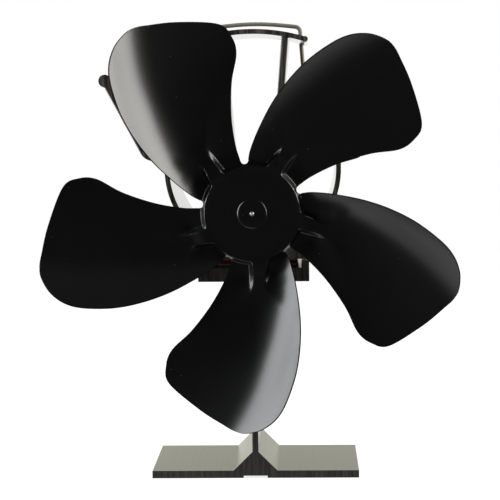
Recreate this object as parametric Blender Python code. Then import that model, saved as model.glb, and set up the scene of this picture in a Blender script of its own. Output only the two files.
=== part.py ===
"""Heat-powered stove fan.

A hot base extrusion and a finned heat sink extrusion clamp a thermoelectric module between them. The
module drives a small motor in the heat sink's ring, and the motor turns a pressed five-blade rotor.
X runs across the fan, Y from its front to its back and Z up. The floor is at Z = 0.
All lengths are in metres and all angles in degrees.
"""

import math

import bmesh
import bpy
from mathutils import Matrix, Vector, geometry

# Base extrusion
EXTRUSION_DEPTH = 0.062
FOOT_WIDTH = 0.0955
FOOT_THICKNESS = 0.00344
FOOT_EDGE = 0.0003
GROOVE_WIDTH = 0.0111
GROOVE_HEIGHT = 0.00105
WEB_WIDTH = 0.0203
STEM_THICKNESS = 0.00275
STEM_FILLET = 0.004
PLATE_WIDTH = 0.0509
PLATE_BOTTOM = 0.0911
PLATE_THICKNESS = 0.0062
LIP_WIDTH = 0.0035
LIP_HEIGHT = 0.0034

# Thermoelectric module and what seats it
MODULE_SIZE = 0.040
CERAMIC_THICKNESS = 0.0008
PELLET_HEIGHT = 0.0018
PELLET_SIDE = 0.004
PELLET_STRAP = 0.0004
PELLET_ROWS = 4
SHEET_THICKNESS = 0.0002
SEAL_INSET = 0.0003
SEAL_WIDTH = 0.0012
STACK_GAP = 0.00005

# Heat sink extrusion
SINK_BASE_THICKNESS = 0.008
SINK_WALL = 0.00223
BOWL_RADIUS = 0.0402
BOWL_CENTRE_RISE = 0.0413
ARM_RISE = 0.0036
WING_THICKNESS = 0.003
WING_TIP_OUT = 0.0669
WING_TIP_RISE = 0.0405
WING_CORNER_OUT = 0.0486
WING_CORNER_RISE = 0.0062
WING_BALL_RADIUS = 0.0029
RIB_THICKNESS = 0.003
RIB_TOP_OUT = 0.0153
RIB_LEAN = 5.0
ARCH_RADIUS = 0.0827
ARCH_END_OUT = 0.0242
ARCH_BULB_RADIUS = 0.00135
TOOTH_PITCH = 0.00105
TOOTH_DEPTH = 0.0003

# Motor, and the ring that holds it
MOTOR_RISE = 0.0219
MOTOR_RADIUS = 0.0122
MOTOR_LENGTH = 0.0308
MOTOR_FRONT_PROUD = 0.002
MOTOR_WALL = 0.0006
MOTOR_FIT = 0.0001
RING_WALL = 0.0023
BOSS_RADIUS = 0.0031
BOSS_LENGTH = 0.0015
BEARING_RADIUS = 0.0022
BEARING_LENGTH = 0.0022
SHAFT_RADIUS = 0.00115
SHAFT_EDGE = 0.0002
SHAFT_RUNNING_FIT = 0.00005
PRESS_GAP = 0.00002
MAGNET_THICKNESS = 0.0025
MAGNET_LENGTH = 0.020
MAGNET_ARC = 130.0
ARMATURE_RADIUS = 0.0083
ARMATURE_LENGTH = 0.015
POLE_COUNT = 3
POLE_ARC = 96.0
POLE_WIDTH = 0.0026
POLE_SHOE = 0.0014
WINDING_THICKNESS = 0.0016
COMMUTATOR_RADIUS = 0.0026
COMMUTATOR_LENGTH = 0.0034
END_CAP_THICKNESS = 0.003
TERMINAL_OUT = 0.008
TERMINAL_WIDTH = 0.0024
TERMINAL_THICKNESS = 0.0005
TERMINAL_TAIL = 0.0045
BRUSH_THICKNESS = 0.0003
BRUSH_WIDTH = 0.002
PART_GAP = 0.0003

# Rotor, pressed from one sheet
ROTOR_RADIUS = 0.0971
ROTOR_FRONT = 0.015
ROTOR_THICKNESS = 0.0008
BLADE_COUNT = 5
HUB_RADIUS = 0.0230
HUB_LIFT = 0.0015
HUB_DEPTH = 0.0030
HUB_STEP = 0.0024
HUB_STEP_FOOT = 0.0002
BOSS_STAMP_RADIUS = 0.0070
BOSS_STAMP_LIFT = 0.0004
NOTCH_RADIUS = 0.00195
NOTCH_OUT = 0.0243
NOTCH_ANGLE = 25.85
BLADE_RISE_START = 0.020
BLADE_RISE_TOP = 0.0262
BLADE_RISE_SLOPE = 0.41
BLADE_RISE_BLEND = 0.006
CURL_HEIGHT = 0.0065
CURL_WIDTH = 0.022
SWEEP_POWER = 1.5
SWEEP_LIMIT = 1.2
ARM_LENGTH_OUT = 0.0355
POCKET_RISE_OUT = 0.0245
ARM_MERGE_OUT = 0.046
COLUMNS_LEAVE_OUT = 0.029
COLUMNS_EVEN_OUT = 0.050
SHAFT_TIP_PROUD = 0.0027

# Blade edges as (share of the rotor's radius, angle from +X seen from the front)
TRAILING_EDGE_SHARES = (
    (0.2483, 30.2), (0.3267, 31.2), (0.4624, 29.4), (0.6131, 26.2), (0.7388, 23.0),
    (0.8192, 24.0), (0.8845, 27.5), (0.940, 38.5), (0.9815, 46.2), (0.9956, 48.7), (1.0, 51.0),
)
LEADING_EDGE_SHARES = (
    (0.2483, 93.5), (0.2915, 90.7), (0.3820, 85.0), (0.5040, 79.2), (0.6260, 74.1),
    (0.7440, 69.2), (0.8600, 64.0), (0.9262, 60.4), (0.9705, 56.6), (0.992, 53.3), (1.0, 51.0),
)
# The blade's own slope goes on past its rounded corners along these two lines
TRAILING_LINE_SHARES = ((0.247, 29.9), (0.46, 28.4), (0.72, 22.5), (1.0, 14.0))
LEADING_LINE_SHARES = ((0.247, 94.0), (0.46, 82.0), (0.735, 69.8), (1.0, 58.0))
# Both sides of a star arm
ARM_TRAILING_SHARES = ((0.2, 51.5), (0.36, 53.5), (0.6, 56.0))
ARM_LEADING_SHARES = ((0.2, 76.5), (0.30, 66.5), (0.36, 61.5), (0.6, 59.0))
# Where the blade's columns of faces lie far from the hub, from the trailing to the leading edge
COLUMN_SHARES = (0.0, 0.15, 0.30, 0.45, 0.60, 0.73, 0.84, 0.93, 1.0)
# Where the columns lie in the notch between two blades
NOTCH_SHARES = (0.75, 0.5, 0.25)
# The columns that lie on top of a star arm
STAR_COLUMNS = (3, 4, 5)
# Where its rows lie, from the hub to the tip
ROW_SHARES = (
    0.0, 0.035, 0.075, 0.115, 0.165, 0.23, 0.31, 0.39,
    0.47, 0.55, 0.63, 0.71, 0.79, 0.87, 0.94, 1.0,
)

# Hub bush
BUSH_FLANGE_RADIUS = 0.0064
BUSH_FLANGE_THICKNESS = 0.001
BUSH_RADIUS = 0.0036
BUSH_LENGTH = 0.008

# Clamp screws, their washers, and the grub screw
SCREW_RADIUS = 0.0015
SCREW_HEAD_RADIUS = 0.00275
SCREW_HEAD_HEIGHT = 0.002
SCREW_BITE = 0.0055
SCREW_OUT = 0.009
SCREW_FROM_END = 0.005
THREAD_GAP = 0.00008
WASHER_RADIUS = 0.0032
WASHER_THICKNESS = 0.001
SLEEVE_WALL = 0.0004
SLEEVE_LENGTH = 0.004
GRUB_LENGTH = 0.0034
GRUB_FROM_FRONT = 0.014
SOCKET_RADIUS = 0.00075
SOCKET_DEPTH = 0.0015

# Bimetal strip under the foot
STRIP_WIDTH = 0.0098
STRIP_THICKNESS = 0.0005
STRIP_LENGTH = 0.050
STRIP_FLOOR_GAP = 0.0002
RIVET_RADIUS = 0.0012
RIVET_HEAD_RADIUS = 0.0022
RIVET_LENGTH = 0.006
RIVET_FROM_END = 0.006

# Leads
LEAD_RADIUS = 0.0006
LEAD_OUT = 0.004
LEAD_IN_OUT = 0.005
LEAD_BEHIND = 0.0045

# Handle wire
WIRE_RADIUS = 0.001
WIRE_BEND = 0.0026
HANDLE_TOP_OUT = 0.0218
HANDLE_FOOT_OUT = 0.0268
HANDLE_RISE = 0.0667
HANDLE_BOW = 0.0016
HANDLE_PIVOT_BACK = 0.026
HANDLE_PIVOT_RISE = 0.0017
HANDLE_PIN_PROUD = 0.0006
PIN_RUNNING_FIT = 0.0001

# Shared values
CUT_OVERRUN = 0.001
WELD = 0.000001
SMALL_ROUND = 10
ROUND = 20
ARC_STEP = 7.5
EDGE_SAMPLES = 12
LEAD_SAMPLES = 18
SMOOTH_ANGLE = 34.0

# Heights that the sizes above give
RECESS_FLOOR = PLATE_BOTTOM + PLATE_THICKNESS
LOWER_SHEET_BOTTOM = RECESS_FLOOR + STACK_GAP
HOT_CERAMIC_BOTTOM = LOWER_SHEET_BOTTOM + SHEET_THICKNESS + STACK_GAP
PELLET_BOTTOM = HOT_CERAMIC_BOTTOM + CERAMIC_THICKNESS + STACK_GAP
COLD_CERAMIC_BOTTOM = PELLET_BOTTOM + PELLET_HEIGHT + STACK_GAP
UPPER_SHEET_BOTTOM = COLD_CERAMIC_BOTTOM + CERAMIC_THICKNESS + STACK_GAP
SINK_BOTTOM = UPPER_SHEET_BOTTOM + SHEET_THICKNESS + STACK_GAP
BOWL_Z = SINK_BOTTOM + BOWL_CENTRE_RISE
MOTOR_Z = SINK_BOTTOM + MOTOR_RISE
EXTRUSION_FRONT = -EXTRUSION_DEPTH / 2
EXTRUSION_BACK = EXTRUSION_DEPTH / 2
BOWL_WALL_OUT = BOWL_RADIUS - SINK_WALL / 2
MOTOR_FRONT = EXTRUSION_FRONT - MOTOR_FRONT_PROUD
MOTOR_BACK = MOTOR_FRONT + MOTOR_LENGTH
RING_BORE = MOTOR_RADIUS + MOTOR_FIT
ROTOR_Y = EXTRUSION_FRONT - ROTOR_FRONT
STAMP_FRONT = ROTOR_Y - HUB_LIFT - BOSS_STAMP_LIFT
PIVOT_Z = BOWL_Z + HANDLE_PIVOT_RISE


# Objects and materials

def clear_scene():
    for scene_object in list(bpy.data.objects):
        bpy.data.objects.remove(scene_object, do_unlink=True)


def principled(name, colour, roughness, metallic):
    material = bpy.data.materials.new(name)
    material.use_nodes = True
    shader = material.node_tree.nodes["Principled BSDF"]
    shader.inputs["Base Color"].default_value = (*colour, 1.0)
    shader.inputs["Roughness"].default_value = roughness
    shader.inputs["Metallic"].default_value = metallic
    material.diffuse_color = (*colour, 1.0)
    return material


def empty(name, location, parent=None):
    holder = bpy.data.objects.new(name, None)
    holder.location = location
    holder.parent = parent
    bpy.context.collection.objects.link(holder)
    return holder


def piece(name, shape, material, parent):
    """Turn a bmesh into a named object with its own material."""
    mesh = bpy.data.meshes.new(name)
    shape.to_mesh(mesh)
    shape.free()
    mesh.shade_smooth()
    mesh.set_sharp_from_angle(angle=math.radians(SMOOTH_ANGLE))
    made = bpy.data.objects.new(name, mesh)
    made.parent = parent
    made.data.materials.append(material)
    bpy.context.collection.objects.link(made)
    return made


def cutter(name, shape, parent):
    """A solid that only cuts others and isn't part of the fan."""
    mesh = bpy.data.meshes.new(name)
    shape.to_mesh(mesh)
    shape.free()
    made = bpy.data.objects.new(name, mesh)
    made.parent = parent
    made.hide_render = True
    made.display_type = "WIRE"
    bpy.context.collection.objects.link(made)
    return made


def cut(target, tool):
    boolean = target.modifiers.new(tool.name, "BOOLEAN")
    boolean.operation = "DIFFERENCE"
    boolean.solver = "EXACT"
    boolean.object = tool


# Flat outlines, as lists of (x, z)

def bar(start, end, width):
    """A straight band between two points."""
    start, end = Vector(start), Vector(end)
    side = (end - start).orthogonal().normalized() * width / 2
    return [start - side, end - side, end + side, start + side]


def toothed_bar(start, end, width, pitch, depth):
    """A straight band with fine saw teeth along both of its long sides."""
    start, end = Vector(start), Vector(end)
    along = end - start
    count = max(1, round(along.length / pitch))
    side = along.orthogonal().normalized()
    outline = []
    for sign, order in ((-1, range(count)), (1, reversed(range(count)))):
        root = side * sign * (width / 2 - depth)
        crest = side * sign * width / 2
        for tooth in order:
            near, far = (tooth, tooth + 1) if sign < 0 else (tooth + 1, tooth)
            outline.append(start + along * near / count + root)
            outline.append(start + along * (near + far) / 2 / count + crest)
        outline.append(start + along * (1 if sign < 0 else 0) + root)
    return outline


def arc(centre, radius, first, last):
    """Points along an arc, about ARC_STEP degrees apart."""
    steps = max(2, round(abs(last - first) / ARC_STEP))
    turns = [math.radians(first + (last - first) * step / steps) for step in range(steps + 1)]
    return [Vector((centre[0] + radius * math.cos(t), centre[1] + radius * math.sin(t))) for t in turns]


def disc(centre, radius, count=SMALL_ROUND):
    turns = [2 * math.pi * step / count for step in range(count)]
    return [Vector((centre[0] + radius * math.cos(t), centre[1] + radius * math.sin(t))) for t in turns]


def curved_band(centre, radius, width, first, last):
    outer = arc(centre, radius + width / 2, first, last)
    inner = arc(centre, radius - width / 2, last, first)
    return outer + inner


def mirrored(outline):
    return [Vector((-point[0], point[1])) for point in reversed(outline)]


def joined_area(solids, holes=()):
    """One flat area from overlapping outlines, less the holes."""
    points = []
    faces = []
    for outline in (*solids, *holes):
        faces.append(list(range(len(points), len(points) + len(outline))))
        points.extend(Vector(point) for point in outline)
    area = geometry.delaunay_2d_cdt(points, [], faces, 0, WELD, True)
    kept = [
        face
        for face, sources in zip(area[2], area[5])
        if sources and max(sources) < len(solids)
    ]
    return area[0], kept


# Solids

def extruded(area, front, back):
    """Push a flat area along Y from front to back."""
    points, faces = area
    shape = bmesh.new()
    corners = [shape.verts.new((point[0], front, point[1])) for point in points]
    for face in faces:
        shape.faces.new([corners[index] for index in face])
    spare = [corner for corner in shape.verts if not corner.link_faces]
    bmesh.ops.delete(shape, geom=spare, context="VERTS")
    pushed = bmesh.ops.extrude_face_region(shape, geom=shape.faces[:])
    far_side = [item for item in pushed["geom"] if isinstance(item, bmesh.types.BMVert)]
    bmesh.ops.translate(shape, vec=(0, back - front, 0), verts=far_side)
    bmesh.ops.recalc_face_normals(shape, faces=shape.faces[:])
    return shape


def turned(profile, axis, count=ROUND, close=True):
    """Spin a profile of (radius, place along the axis) points about an axis through the origin."""
    shape = bmesh.new()
    along = Vector(axis)
    out = along.orthogonal().normalized()
    corners = [shape.verts.new(out * radius + along * place) for radius, place in profile]
    edges = [shape.edges.new(pair) for pair in zip(corners, corners[1:])]
    if close:
        edges.append(shape.edges.new((corners[-1], corners[0])))
    bmesh.ops.spin(
        shape, geom=corners + edges, cent=(0, 0, 0), axis=along,
        angle=math.tau, steps=count, use_merge=True,
    )
    bmesh.ops.remove_doubles(shape, verts=shape.verts[:], dist=WELD)
    bmesh.ops.recalc_face_normals(shape, faces=shape.faces[:])
    return shape


def block(low, high):
    """A box between two opposite corners."""
    low, high = Vector(low), Vector(high)
    shape = bmesh.new()
    bmesh.ops.create_cube(shape, size=1)
    bmesh.ops.scale(shape, vec=high - low, verts=shape.verts[:])
    bmesh.ops.translate(shape, vec=(low + high) / 2, verts=shape.verts[:])
    return shape


def moved(shape, offset):
    bmesh.ops.translate(shape, vec=offset, verts=shape.verts[:])
    return shape


def bored_disc(outer, inner, start, end):
    return [(outer, start), (outer, end), (inner, end), (inner, start)]


def through(points, samples):
    """Sample a smooth curve that passes through every given point."""
    curve = []
    steps = samples // (len(points) - 1)
    padded = [points[0] * 2 - points[1], *points, points[-1] * 2 - points[-2]]
    for before, start, end, after in zip(padded, padded[1:], padded[2:], padded[3:]):
        for step in range(steps):
            t = step / steps
            curve.append(
                (start * 2 + (end - before) * t
                 + (before * 2 - start * 5 + end * 4 - after) * t ** 2
                 + (start * 3 - before - end * 3 + after) * t ** 3) / 2
            )
    curve.append(points[-1])
    return curve


def wire(name, route, radius, resolution, material, parent):
    """A round wire along a list of points."""
    curve = bpy.data.curves.new(name, "CURVE")
    curve.dimensions = "3D"
    curve.bevel_depth = radius
    curve.bevel_resolution = resolution
    curve.use_fill_caps = True
    spline = curve.splines.new("POLY")
    spline.points.add(len(route) - 1)
    for target, place in zip(spline.points, route):
        target.co = (*place, 1)
    made = bpy.data.objects.new(name, curve)
    made.parent = parent
    made.data.materials.append(material)
    bpy.context.collection.objects.link(made)
    return made


# Base extrusion

def make_base(parent):
    half_foot = FOOT_WIDTH / 2
    half_web = WEB_WIDTH / 2
    half_stem = STEM_THICKNESS / 2
    half_plate = PLATE_WIDTH / 2
    web_top = FOOT_THICKNESS + half_web - half_stem
    foot = [
        (half_foot, FOOT_EDGE), (half_foot, FOOT_THICKNESS - FOOT_EDGE),
        (half_foot - FOOT_EDGE, FOOT_THICKNESS), (half_web, FOOT_THICKNESS), (half_stem, web_top),
    ]
    under_plate = arc(
        (half_stem + STEM_FILLET, PLATE_BOTTOM - STEM_FILLET), STEM_FILLET, 180, 90,
    )
    plate = [
        (half_plate, PLATE_BOTTOM), (half_plate, RECESS_FLOOR + LIP_HEIGHT),
        (half_plate - LIP_WIDTH, RECESS_FLOOR + LIP_HEIGHT), (half_plate - LIP_WIDTH, RECESS_FLOOR),
    ]
    groove = [(GROOVE_WIDTH / 2, GROOVE_HEIGHT), (GROOVE_WIDTH / 2, 0), (half_foot - FOOT_EDGE, 0)]
    right = [Vector(point) for point in (*groove, *foot, *under_plate, *plate)]
    base = piece(
        "base_extrusion",
        extruded(joined_area([right + mirrored(right)]), EXTRUSION_FRONT, EXTRUSION_BACK),
        principled("base_black", (0.012, 0.012, 0.013), 0.42, 0.3),
        parent,
    )
    for number, place in enumerate(clamp_places(), 1):
        hole = turned(
            bored_rod(SCREW_RADIUS + SLEEVE_WALL + 2 * THREAD_GAP,
                      PLATE_BOTTOM - CUT_OVERRUN, RECESS_FLOOR + CUT_OVERRUN),
            (0, 0, 1), SMALL_ROUND, close=False,
        )
        cut(base, cutter(f"plate_hole_{number}", moved(hole, place), parent))
    rivet_hole = turned(
        bored_rod(RIVET_RADIUS + THREAD_GAP, -CUT_OVERRUN, GROOVE_HEIGHT + RIVET_LENGTH),
        (0, 0, 1), SMALL_ROUND, close=False,
    )
    cut(base, cutter("rivet_hole", moved(rivet_hole, (0, rivet_place(), 0)), parent))
    return base


def bored_rod(radius, bottom, top):
    """The profile of a plain rod, from its middle round to its middle."""
    return [(0, bottom), (radius, bottom), (radius, top), (0, top)]


def clamp_places():
    """The four clamp screws stand in front of and behind the module."""
    reach = EXTRUSION_BACK - SCREW_FROM_END
    return [(x, y, 0) for y in (-reach, reach) for x in (-SCREW_OUT, SCREW_OUT)]


def rivet_place():
    return STRIP_LENGTH / 2 - RIVET_FROM_END


def make_bimetal(parent):
    bottom = STRIP_FLOOR_GAP
    top = bottom + STRIP_THICKNESS
    strip = piece(
        "bimetal_strip",
        block((-STRIP_WIDTH / 2, -STRIP_LENGTH / 2, bottom), (STRIP_WIDTH / 2, STRIP_LENGTH / 2, top)),
        principled("bimetal", (0.42, 0.36, 0.26), 0.4, 1.0),
        parent,
    )
    seat = turned(
        [(0, bottom - CUT_OVERRUN), (RIVET_HEAD_RADIUS + THREAD_GAP, bottom - CUT_OVERRUN),
         (RIVET_HEAD_RADIUS + THREAD_GAP, bottom), (RIVET_RADIUS + THREAD_GAP, top),
         (RIVET_RADIUS + THREAD_GAP, top + CUT_OVERRUN), (0, top + CUT_OVERRUN)],
        (0, 0, 1), SMALL_ROUND, close=False,
    )
    cut(strip, cutter("strip_hole", moved(seat, (0, rivet_place(), 0)), parent))
    rivet = turned(
        [(0, bottom), (RIVET_HEAD_RADIUS, bottom), (RIVET_RADIUS, top),
         (RIVET_RADIUS, top + RIVET_LENGTH), (0, top + RIVET_LENGTH)],
        (0, 0, 1), SMALL_ROUND, close=False,
    )
    piece(
        "bimetal_rivet", moved(rivet, (0, rivet_place(), 0)),
        principled("rivet_steel", (0.45, 0.45, 0.44), 0.35, 1.0), parent,
    )


# Thermoelectric module

def make_module(parent):
    ceramic = principled("ceramic", (0.78, 0.77, 0.73), 0.5, 0.0)
    sheet = principled("thermal_sheet", (0.16, 0.16, 0.17), 0.6, 0.2)
    half = MODULE_SIZE / 2
    layers = (
        ("lower_thermal_sheet", LOWER_SHEET_BOTTOM, SHEET_THICKNESS, sheet),
        ("module_hot_ceramic", HOT_CERAMIC_BOTTOM, CERAMIC_THICKNESS, ceramic),
        ("module_cold_ceramic", COLD_CERAMIC_BOTTOM, CERAMIC_THICKNESS, ceramic),
        ("upper_thermal_sheet", UPPER_SHEET_BOTTOM, SHEET_THICKNESS, sheet),
    )
    for name, bottom, thickness, material in layers:
        piece(name, block((-half, -half, bottom), (half, half, bottom + thickness)), material, parent)
    make_seal(parent)
    make_pellets(parent)


def make_seal(parent):
    """A ring of silicone between the two ceramics, just inside their edges."""
    outer = MODULE_SIZE / 2 - SEAL_INSET
    inner = outer - SEAL_WIDTH
    shape = bmesh.new()
    rings = []
    for reach in (outer, inner):
        corners = ((-reach, -reach), (reach, -reach), (reach, reach), (-reach, reach))
        rings.append([shape.verts.new((x, y, PELLET_BOTTOM)) for x, y in corners])
    for corner in range(4):
        following = (corner + 1) % 4
        shape.faces.new(
            (rings[0][corner], rings[0][following], rings[1][following], rings[1][corner])
        )
    pushed = bmesh.ops.extrude_face_region(shape, geom=shape.faces[:])
    raised = [item for item in pushed["geom"] if isinstance(item, bmesh.types.BMVert)]
    bmesh.ops.translate(shape, vec=(0, 0, PELLET_HEIGHT), verts=raised)
    bmesh.ops.recalc_face_normals(shape, faces=shape.faces[:])
    piece("module_seal", shape, principled("seal_red", (0.045, 0.004, 0.005), 0.45, 0.0), parent)


def rectangle(left, low, right, high):
    return [(left, low), (right, low), (right, high), (left, high)]


def make_pellets(parent):
    """Rows of pellets in series, linked by metal straps above and below by turns."""
    reach = MODULE_SIZE / 2 - SEAL_INSET - SEAL_WIDTH - PART_GAP
    pitch = (2 * reach - PELLET_SIDE) / (PELLET_ROWS - 1)
    low = PELLET_BOTTOM + STACK_GAP
    high = PELLET_BOTTOM + PELLET_HEIGHT - STACK_GAP
    outlines = []
    for column in range(PELLET_ROWS):
        left = column * pitch - reach
        outlines.append(rectangle(left, low, left + PELLET_SIDE, high))
        if column + 1 < PELLET_ROWS:
            strap = low if column % 2 else high - PELLET_STRAP
            outlines.append(rectangle(left, strap, left + pitch + PELLET_SIDE, strap + PELLET_STRAP))
    area = joined_area(outlines)
    rows = bmesh.new()
    straps = bmesh.new()
    inset = PELLET_SIDE / 4
    for row in range(PELLET_ROWS):
        front = row * pitch - reach
        add_to(rows, extruded(area, front, front + PELLET_SIDE))
        if row + 1 < PELLET_ROWS:
            left = (0 if row % 2 else (PELLET_ROWS - 1) * pitch) - reach + inset
            strap = (low if row % 2 else high - PELLET_STRAP) + PELLET_STRAP / 4
            add_to(straps, block(
                (left, front + inset, strap),
                (left + PELLET_SIDE - 2 * inset, front + pitch + inset, strap + PELLET_STRAP / 2),
            ))
    pellets = piece("module_pellets", rows, principled("pellet", (0.3, 0.3, 0.32), 0.4, 0.9), parent)
    union = pellets.modifiers.new("row_straps", "BOOLEAN")
    union.operation = "UNION"
    union.solver = "EXACT"
    union.object = cutter("row_straps", straps, parent)


def add_to(target, shape):
    """Copy one bmesh into another."""
    spare = bpy.data.meshes.new("spare")
    shape.to_mesh(spare)
    shape.free()
    target.from_mesh(spare)
    bpy.data.meshes.remove(spare)


# Heat sink extrusion

def sink_outlines():
    half_base = PLATE_WIDTH / 2
    motor_centre = (0, MOTOR_Z)
    bowl_centre = (0, BOWL_Z)
    arm_top = (BOWL_WALL_OUT, BOWL_Z + ARM_RISE)
    corner = (WING_CORNER_OUT, BOWL_Z + WING_CORNER_RISE)
    wing_tip = (WING_TIP_OUT, BOWL_Z + WING_TIP_RISE)
    base_top = SINK_BOTTOM + SINK_BASE_THICKNESS
    base = [
        (-half_base, SINK_BOTTOM), (half_base, SINK_BOTTOM), (half_base, base_top), (-half_base, base_top),
    ]
    arch_half_angle = math.degrees(math.asin(ARCH_END_OUT / (ARCH_RADIUS - SINK_WALL / 2)))
    arch_radius = ARCH_RADIUS - SINK_WALL / 2
    arch_end = (ARCH_END_OUT, MOTOR_Z + math.sqrt(arch_radius ** 2 - ARCH_END_OUT ** 2))
    rib_top = (RIB_TOP_OUT, MOTOR_Z + math.sqrt(arch_radius ** 2 - RIB_TOP_OUT ** 2))
    ring_middle = RING_BORE + RING_WALL / 2
    rib_drop = rib_top[1] - MOTOR_Z
    rib_foot_out = RIB_TOP_OUT - rib_drop * math.tan(math.radians(RIB_LEAN))
    rib_foot_out += ring_middle * math.sin(math.radians(RIB_LEAN))
    rib_foot = (rib_foot_out, MOTOR_Z + math.sqrt(ring_middle ** 2 - rib_foot_out ** 2))
    sides = [
        bar((BOWL_WALL_OUT, BOWL_Z - SINK_WALL), arm_top, SINK_WALL),
        disc(arm_top, SINK_WALL / 2),
        bar(arm_top, corner, WING_THICKNESS),
        disc(corner, WING_THICKNESS / 2),
        toothed_bar(corner, wing_tip, WING_THICKNESS, TOOTH_PITCH, TOOTH_DEPTH),
        disc(wing_tip, WING_BALL_RADIUS, ROUND),
        toothed_bar(rib_foot, rib_top, RIB_THICKNESS, TOOTH_PITCH, TOOTH_DEPTH),
        disc(arch_end, ARCH_BULB_RADIUS),
    ]
    solids = [
        base,
        curved_band(bowl_centre, BOWL_WALL_OUT, SINK_WALL, 180, 360),
        disc(motor_centre, RING_BORE + RING_WALL, 2 * ROUND),
        curved_band(
            motor_centre, arch_radius, SINK_WALL, 90 - arch_half_angle, 90 + arch_half_angle,
        ),
        *sides,
        *[mirrored(side) for side in sides],
    ]
    return solids, [disc(motor_centre, RING_BORE, 2 * ROUND)]


def make_sink(parent):
    solids, holes = sink_outlines()
    sink = piece(
        "heat_sink_extrusion",
        extruded(joined_area(solids, holes), EXTRUSION_FRONT, EXTRUSION_BACK),
        principled("sink_black", (0.012, 0.012, 0.013), 0.4, 0.3),
        parent,
    )
    for number, place in enumerate(clamp_places(), 1):
        hole = turned(
            bored_rod(SCREW_RADIUS + THREAD_GAP, SINK_BOTTOM - CUT_OVERRUN,
                      SINK_BOTTOM + SCREW_BITE + PART_GAP),
            (0, 0, 1), SMALL_ROUND, close=False,
        )
        cut(sink, cutter(f"sink_hole_{number}", moved(hole, place), parent))
    grub_hole = turned(
        bored_rod(SCREW_RADIUS + THREAD_GAP, RING_BORE - CUT_OVERRUN, RING_BORE + RING_WALL + CUT_OVERRUN),
        (0, 0, 1), SMALL_ROUND, close=False,
    )
    cut(sink, cutter("grub_hole", moved(grub_hole, (0, grub_place(), MOTOR_Z)), parent))
    for number, side in enumerate((-1, 1), 1):
        pin_hole = turned(
            bored_rod(WIRE_RADIUS + PIN_RUNNING_FIT, -SINK_WALL, SINK_WALL),
            (1, 0, 0), SMALL_ROUND, close=False,
        )
        place = (side * BOWL_WALL_OUT, HANDLE_PIVOT_BACK, PIVOT_Z)
        cut(sink, cutter(f"pin_hole_{number}", moved(pin_hole, place), parent))
    return sink


def grub_place():
    return MOTOR_FRONT + GRUB_FROM_FRONT


def make_clamps(parent):
    """Four screws pull the heat sink down on the module; washers with sleeves keep their heat away."""
    steel = principled("screw_steel", (0.5, 0.5, 0.49), 0.35, 1.0)
    fibre = principled("washer_fibre", (0.75, 0.72, 0.62), 0.6, 0.0)
    washer_top = PLATE_BOTTOM - STACK_GAP
    washer_bottom = washer_top - WASHER_THICKNESS
    head_top = washer_bottom - STACK_GAP
    head_bottom = head_top - SCREW_HEAD_HEIGHT
    bore = SCREW_RADIUS + THREAD_GAP
    sleeve = SCREW_RADIUS + SLEEVE_WALL + THREAD_GAP
    for number, place in enumerate(clamp_places(), 1):
        washer = turned(
            [(WASHER_RADIUS, washer_bottom), (WASHER_RADIUS, washer_top), (sleeve, washer_top),
             (sleeve, washer_top + SLEEVE_LENGTH), (bore, washer_top + SLEEVE_LENGTH),
             (bore, washer_bottom)],
            (0, 0, 1), SMALL_ROUND,
        )
        piece(f"insulating_washer_{number}", moved(washer, place), fibre, parent)
        screw = turned(
            [(0, head_bottom + SOCKET_DEPTH), (SOCKET_RADIUS, head_bottom + SOCKET_DEPTH),
             (SOCKET_RADIUS, head_bottom), (SCREW_HEAD_RADIUS - PART_GAP, head_bottom),
             (SCREW_HEAD_RADIUS, head_bottom + PART_GAP), (SCREW_HEAD_RADIUS, head_top),
             (SCREW_RADIUS, head_top), (SCREW_RADIUS, SINK_BOTTOM + SCREW_BITE),
             (0, SINK_BOTTOM + SCREW_BITE)],
            (0, 0, 1), SMALL_ROUND, close=False,
        )
        piece(f"clamp_screw_{number}", moved(screw, place), steel, parent)


# Motor. Its pieces are placed about the motor's axis, along Y.

def make_motor(parent):
    steel = principled("motor_steel", (0.55, 0.55, 0.56), 0.3, 1.0)
    can_back = MOTOR_BACK
    boss_front = MOTOR_FRONT - BOSS_LENGTH
    bearing_seat = BEARING_RADIUS + PRESS_GAP
    inner = MOTOR_RADIUS - MOTOR_WALL
    can = turned(
        [(MOTOR_RADIUS, can_back), (MOTOR_RADIUS, MOTOR_FRONT), (BOSS_RADIUS, MOTOR_FRONT),
         (BOSS_RADIUS, boss_front), (bearing_seat, boss_front),
         (bearing_seat, MOTOR_FRONT + MOTOR_WALL), (inner, MOTOR_FRONT + MOTOR_WALL), (inner, can_back)],
        (0, 1, 0), 2 * ROUND,
    )
    piece("motor_can", can, steel, parent)
    make_bearings(parent, boss_front)
    make_magnets(parent)
    make_end_cap(parent)
    make_terminals(parent)


def bearing_back():
    """The rear bearing ends at the back of the end cap's boss."""
    return MOTOR_BACK + BOSS_LENGTH


def make_bearings(parent, boss_front):
    bronze = principled("bearing_bronze", (0.42, 0.27, 0.12), 0.35, 1.0)
    bore = SHAFT_RADIUS + SHAFT_RUNNING_FIT
    places = (("bearing_front", boss_front), ("bearing_rear", bearing_back() - BEARING_LENGTH))
    for name, front in places:
        bearing = turned(
            bored_disc(BEARING_RADIUS, bore, front, front + BEARING_LENGTH), (0, 1, 0), ROUND,
        )
        piece(name, bearing, bronze, parent)


def magnet_front():
    return MOTOR_FRONT + MOTOR_WALL + BEARING_LENGTH


def make_magnets(parent):
    ferrite = principled("ferrite", (0.05, 0.05, 0.055), 0.6, 0.1)
    outer = MOTOR_RADIUS - MOTOR_WALL - PART_GAP / 2
    for number, middle in enumerate((0, 180), 1):
        band = curved_band(
            (0, 0), outer - MAGNET_THICKNESS / 2, MAGNET_THICKNESS,
            middle - MAGNET_ARC / 2, middle + MAGNET_ARC / 2,
        )
        magnet = extruded(joined_area([band]), magnet_front(), magnet_front() + MAGNET_LENGTH)
        piece(f"motor_magnet_{number}", magnet, ferrite, parent)


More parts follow.
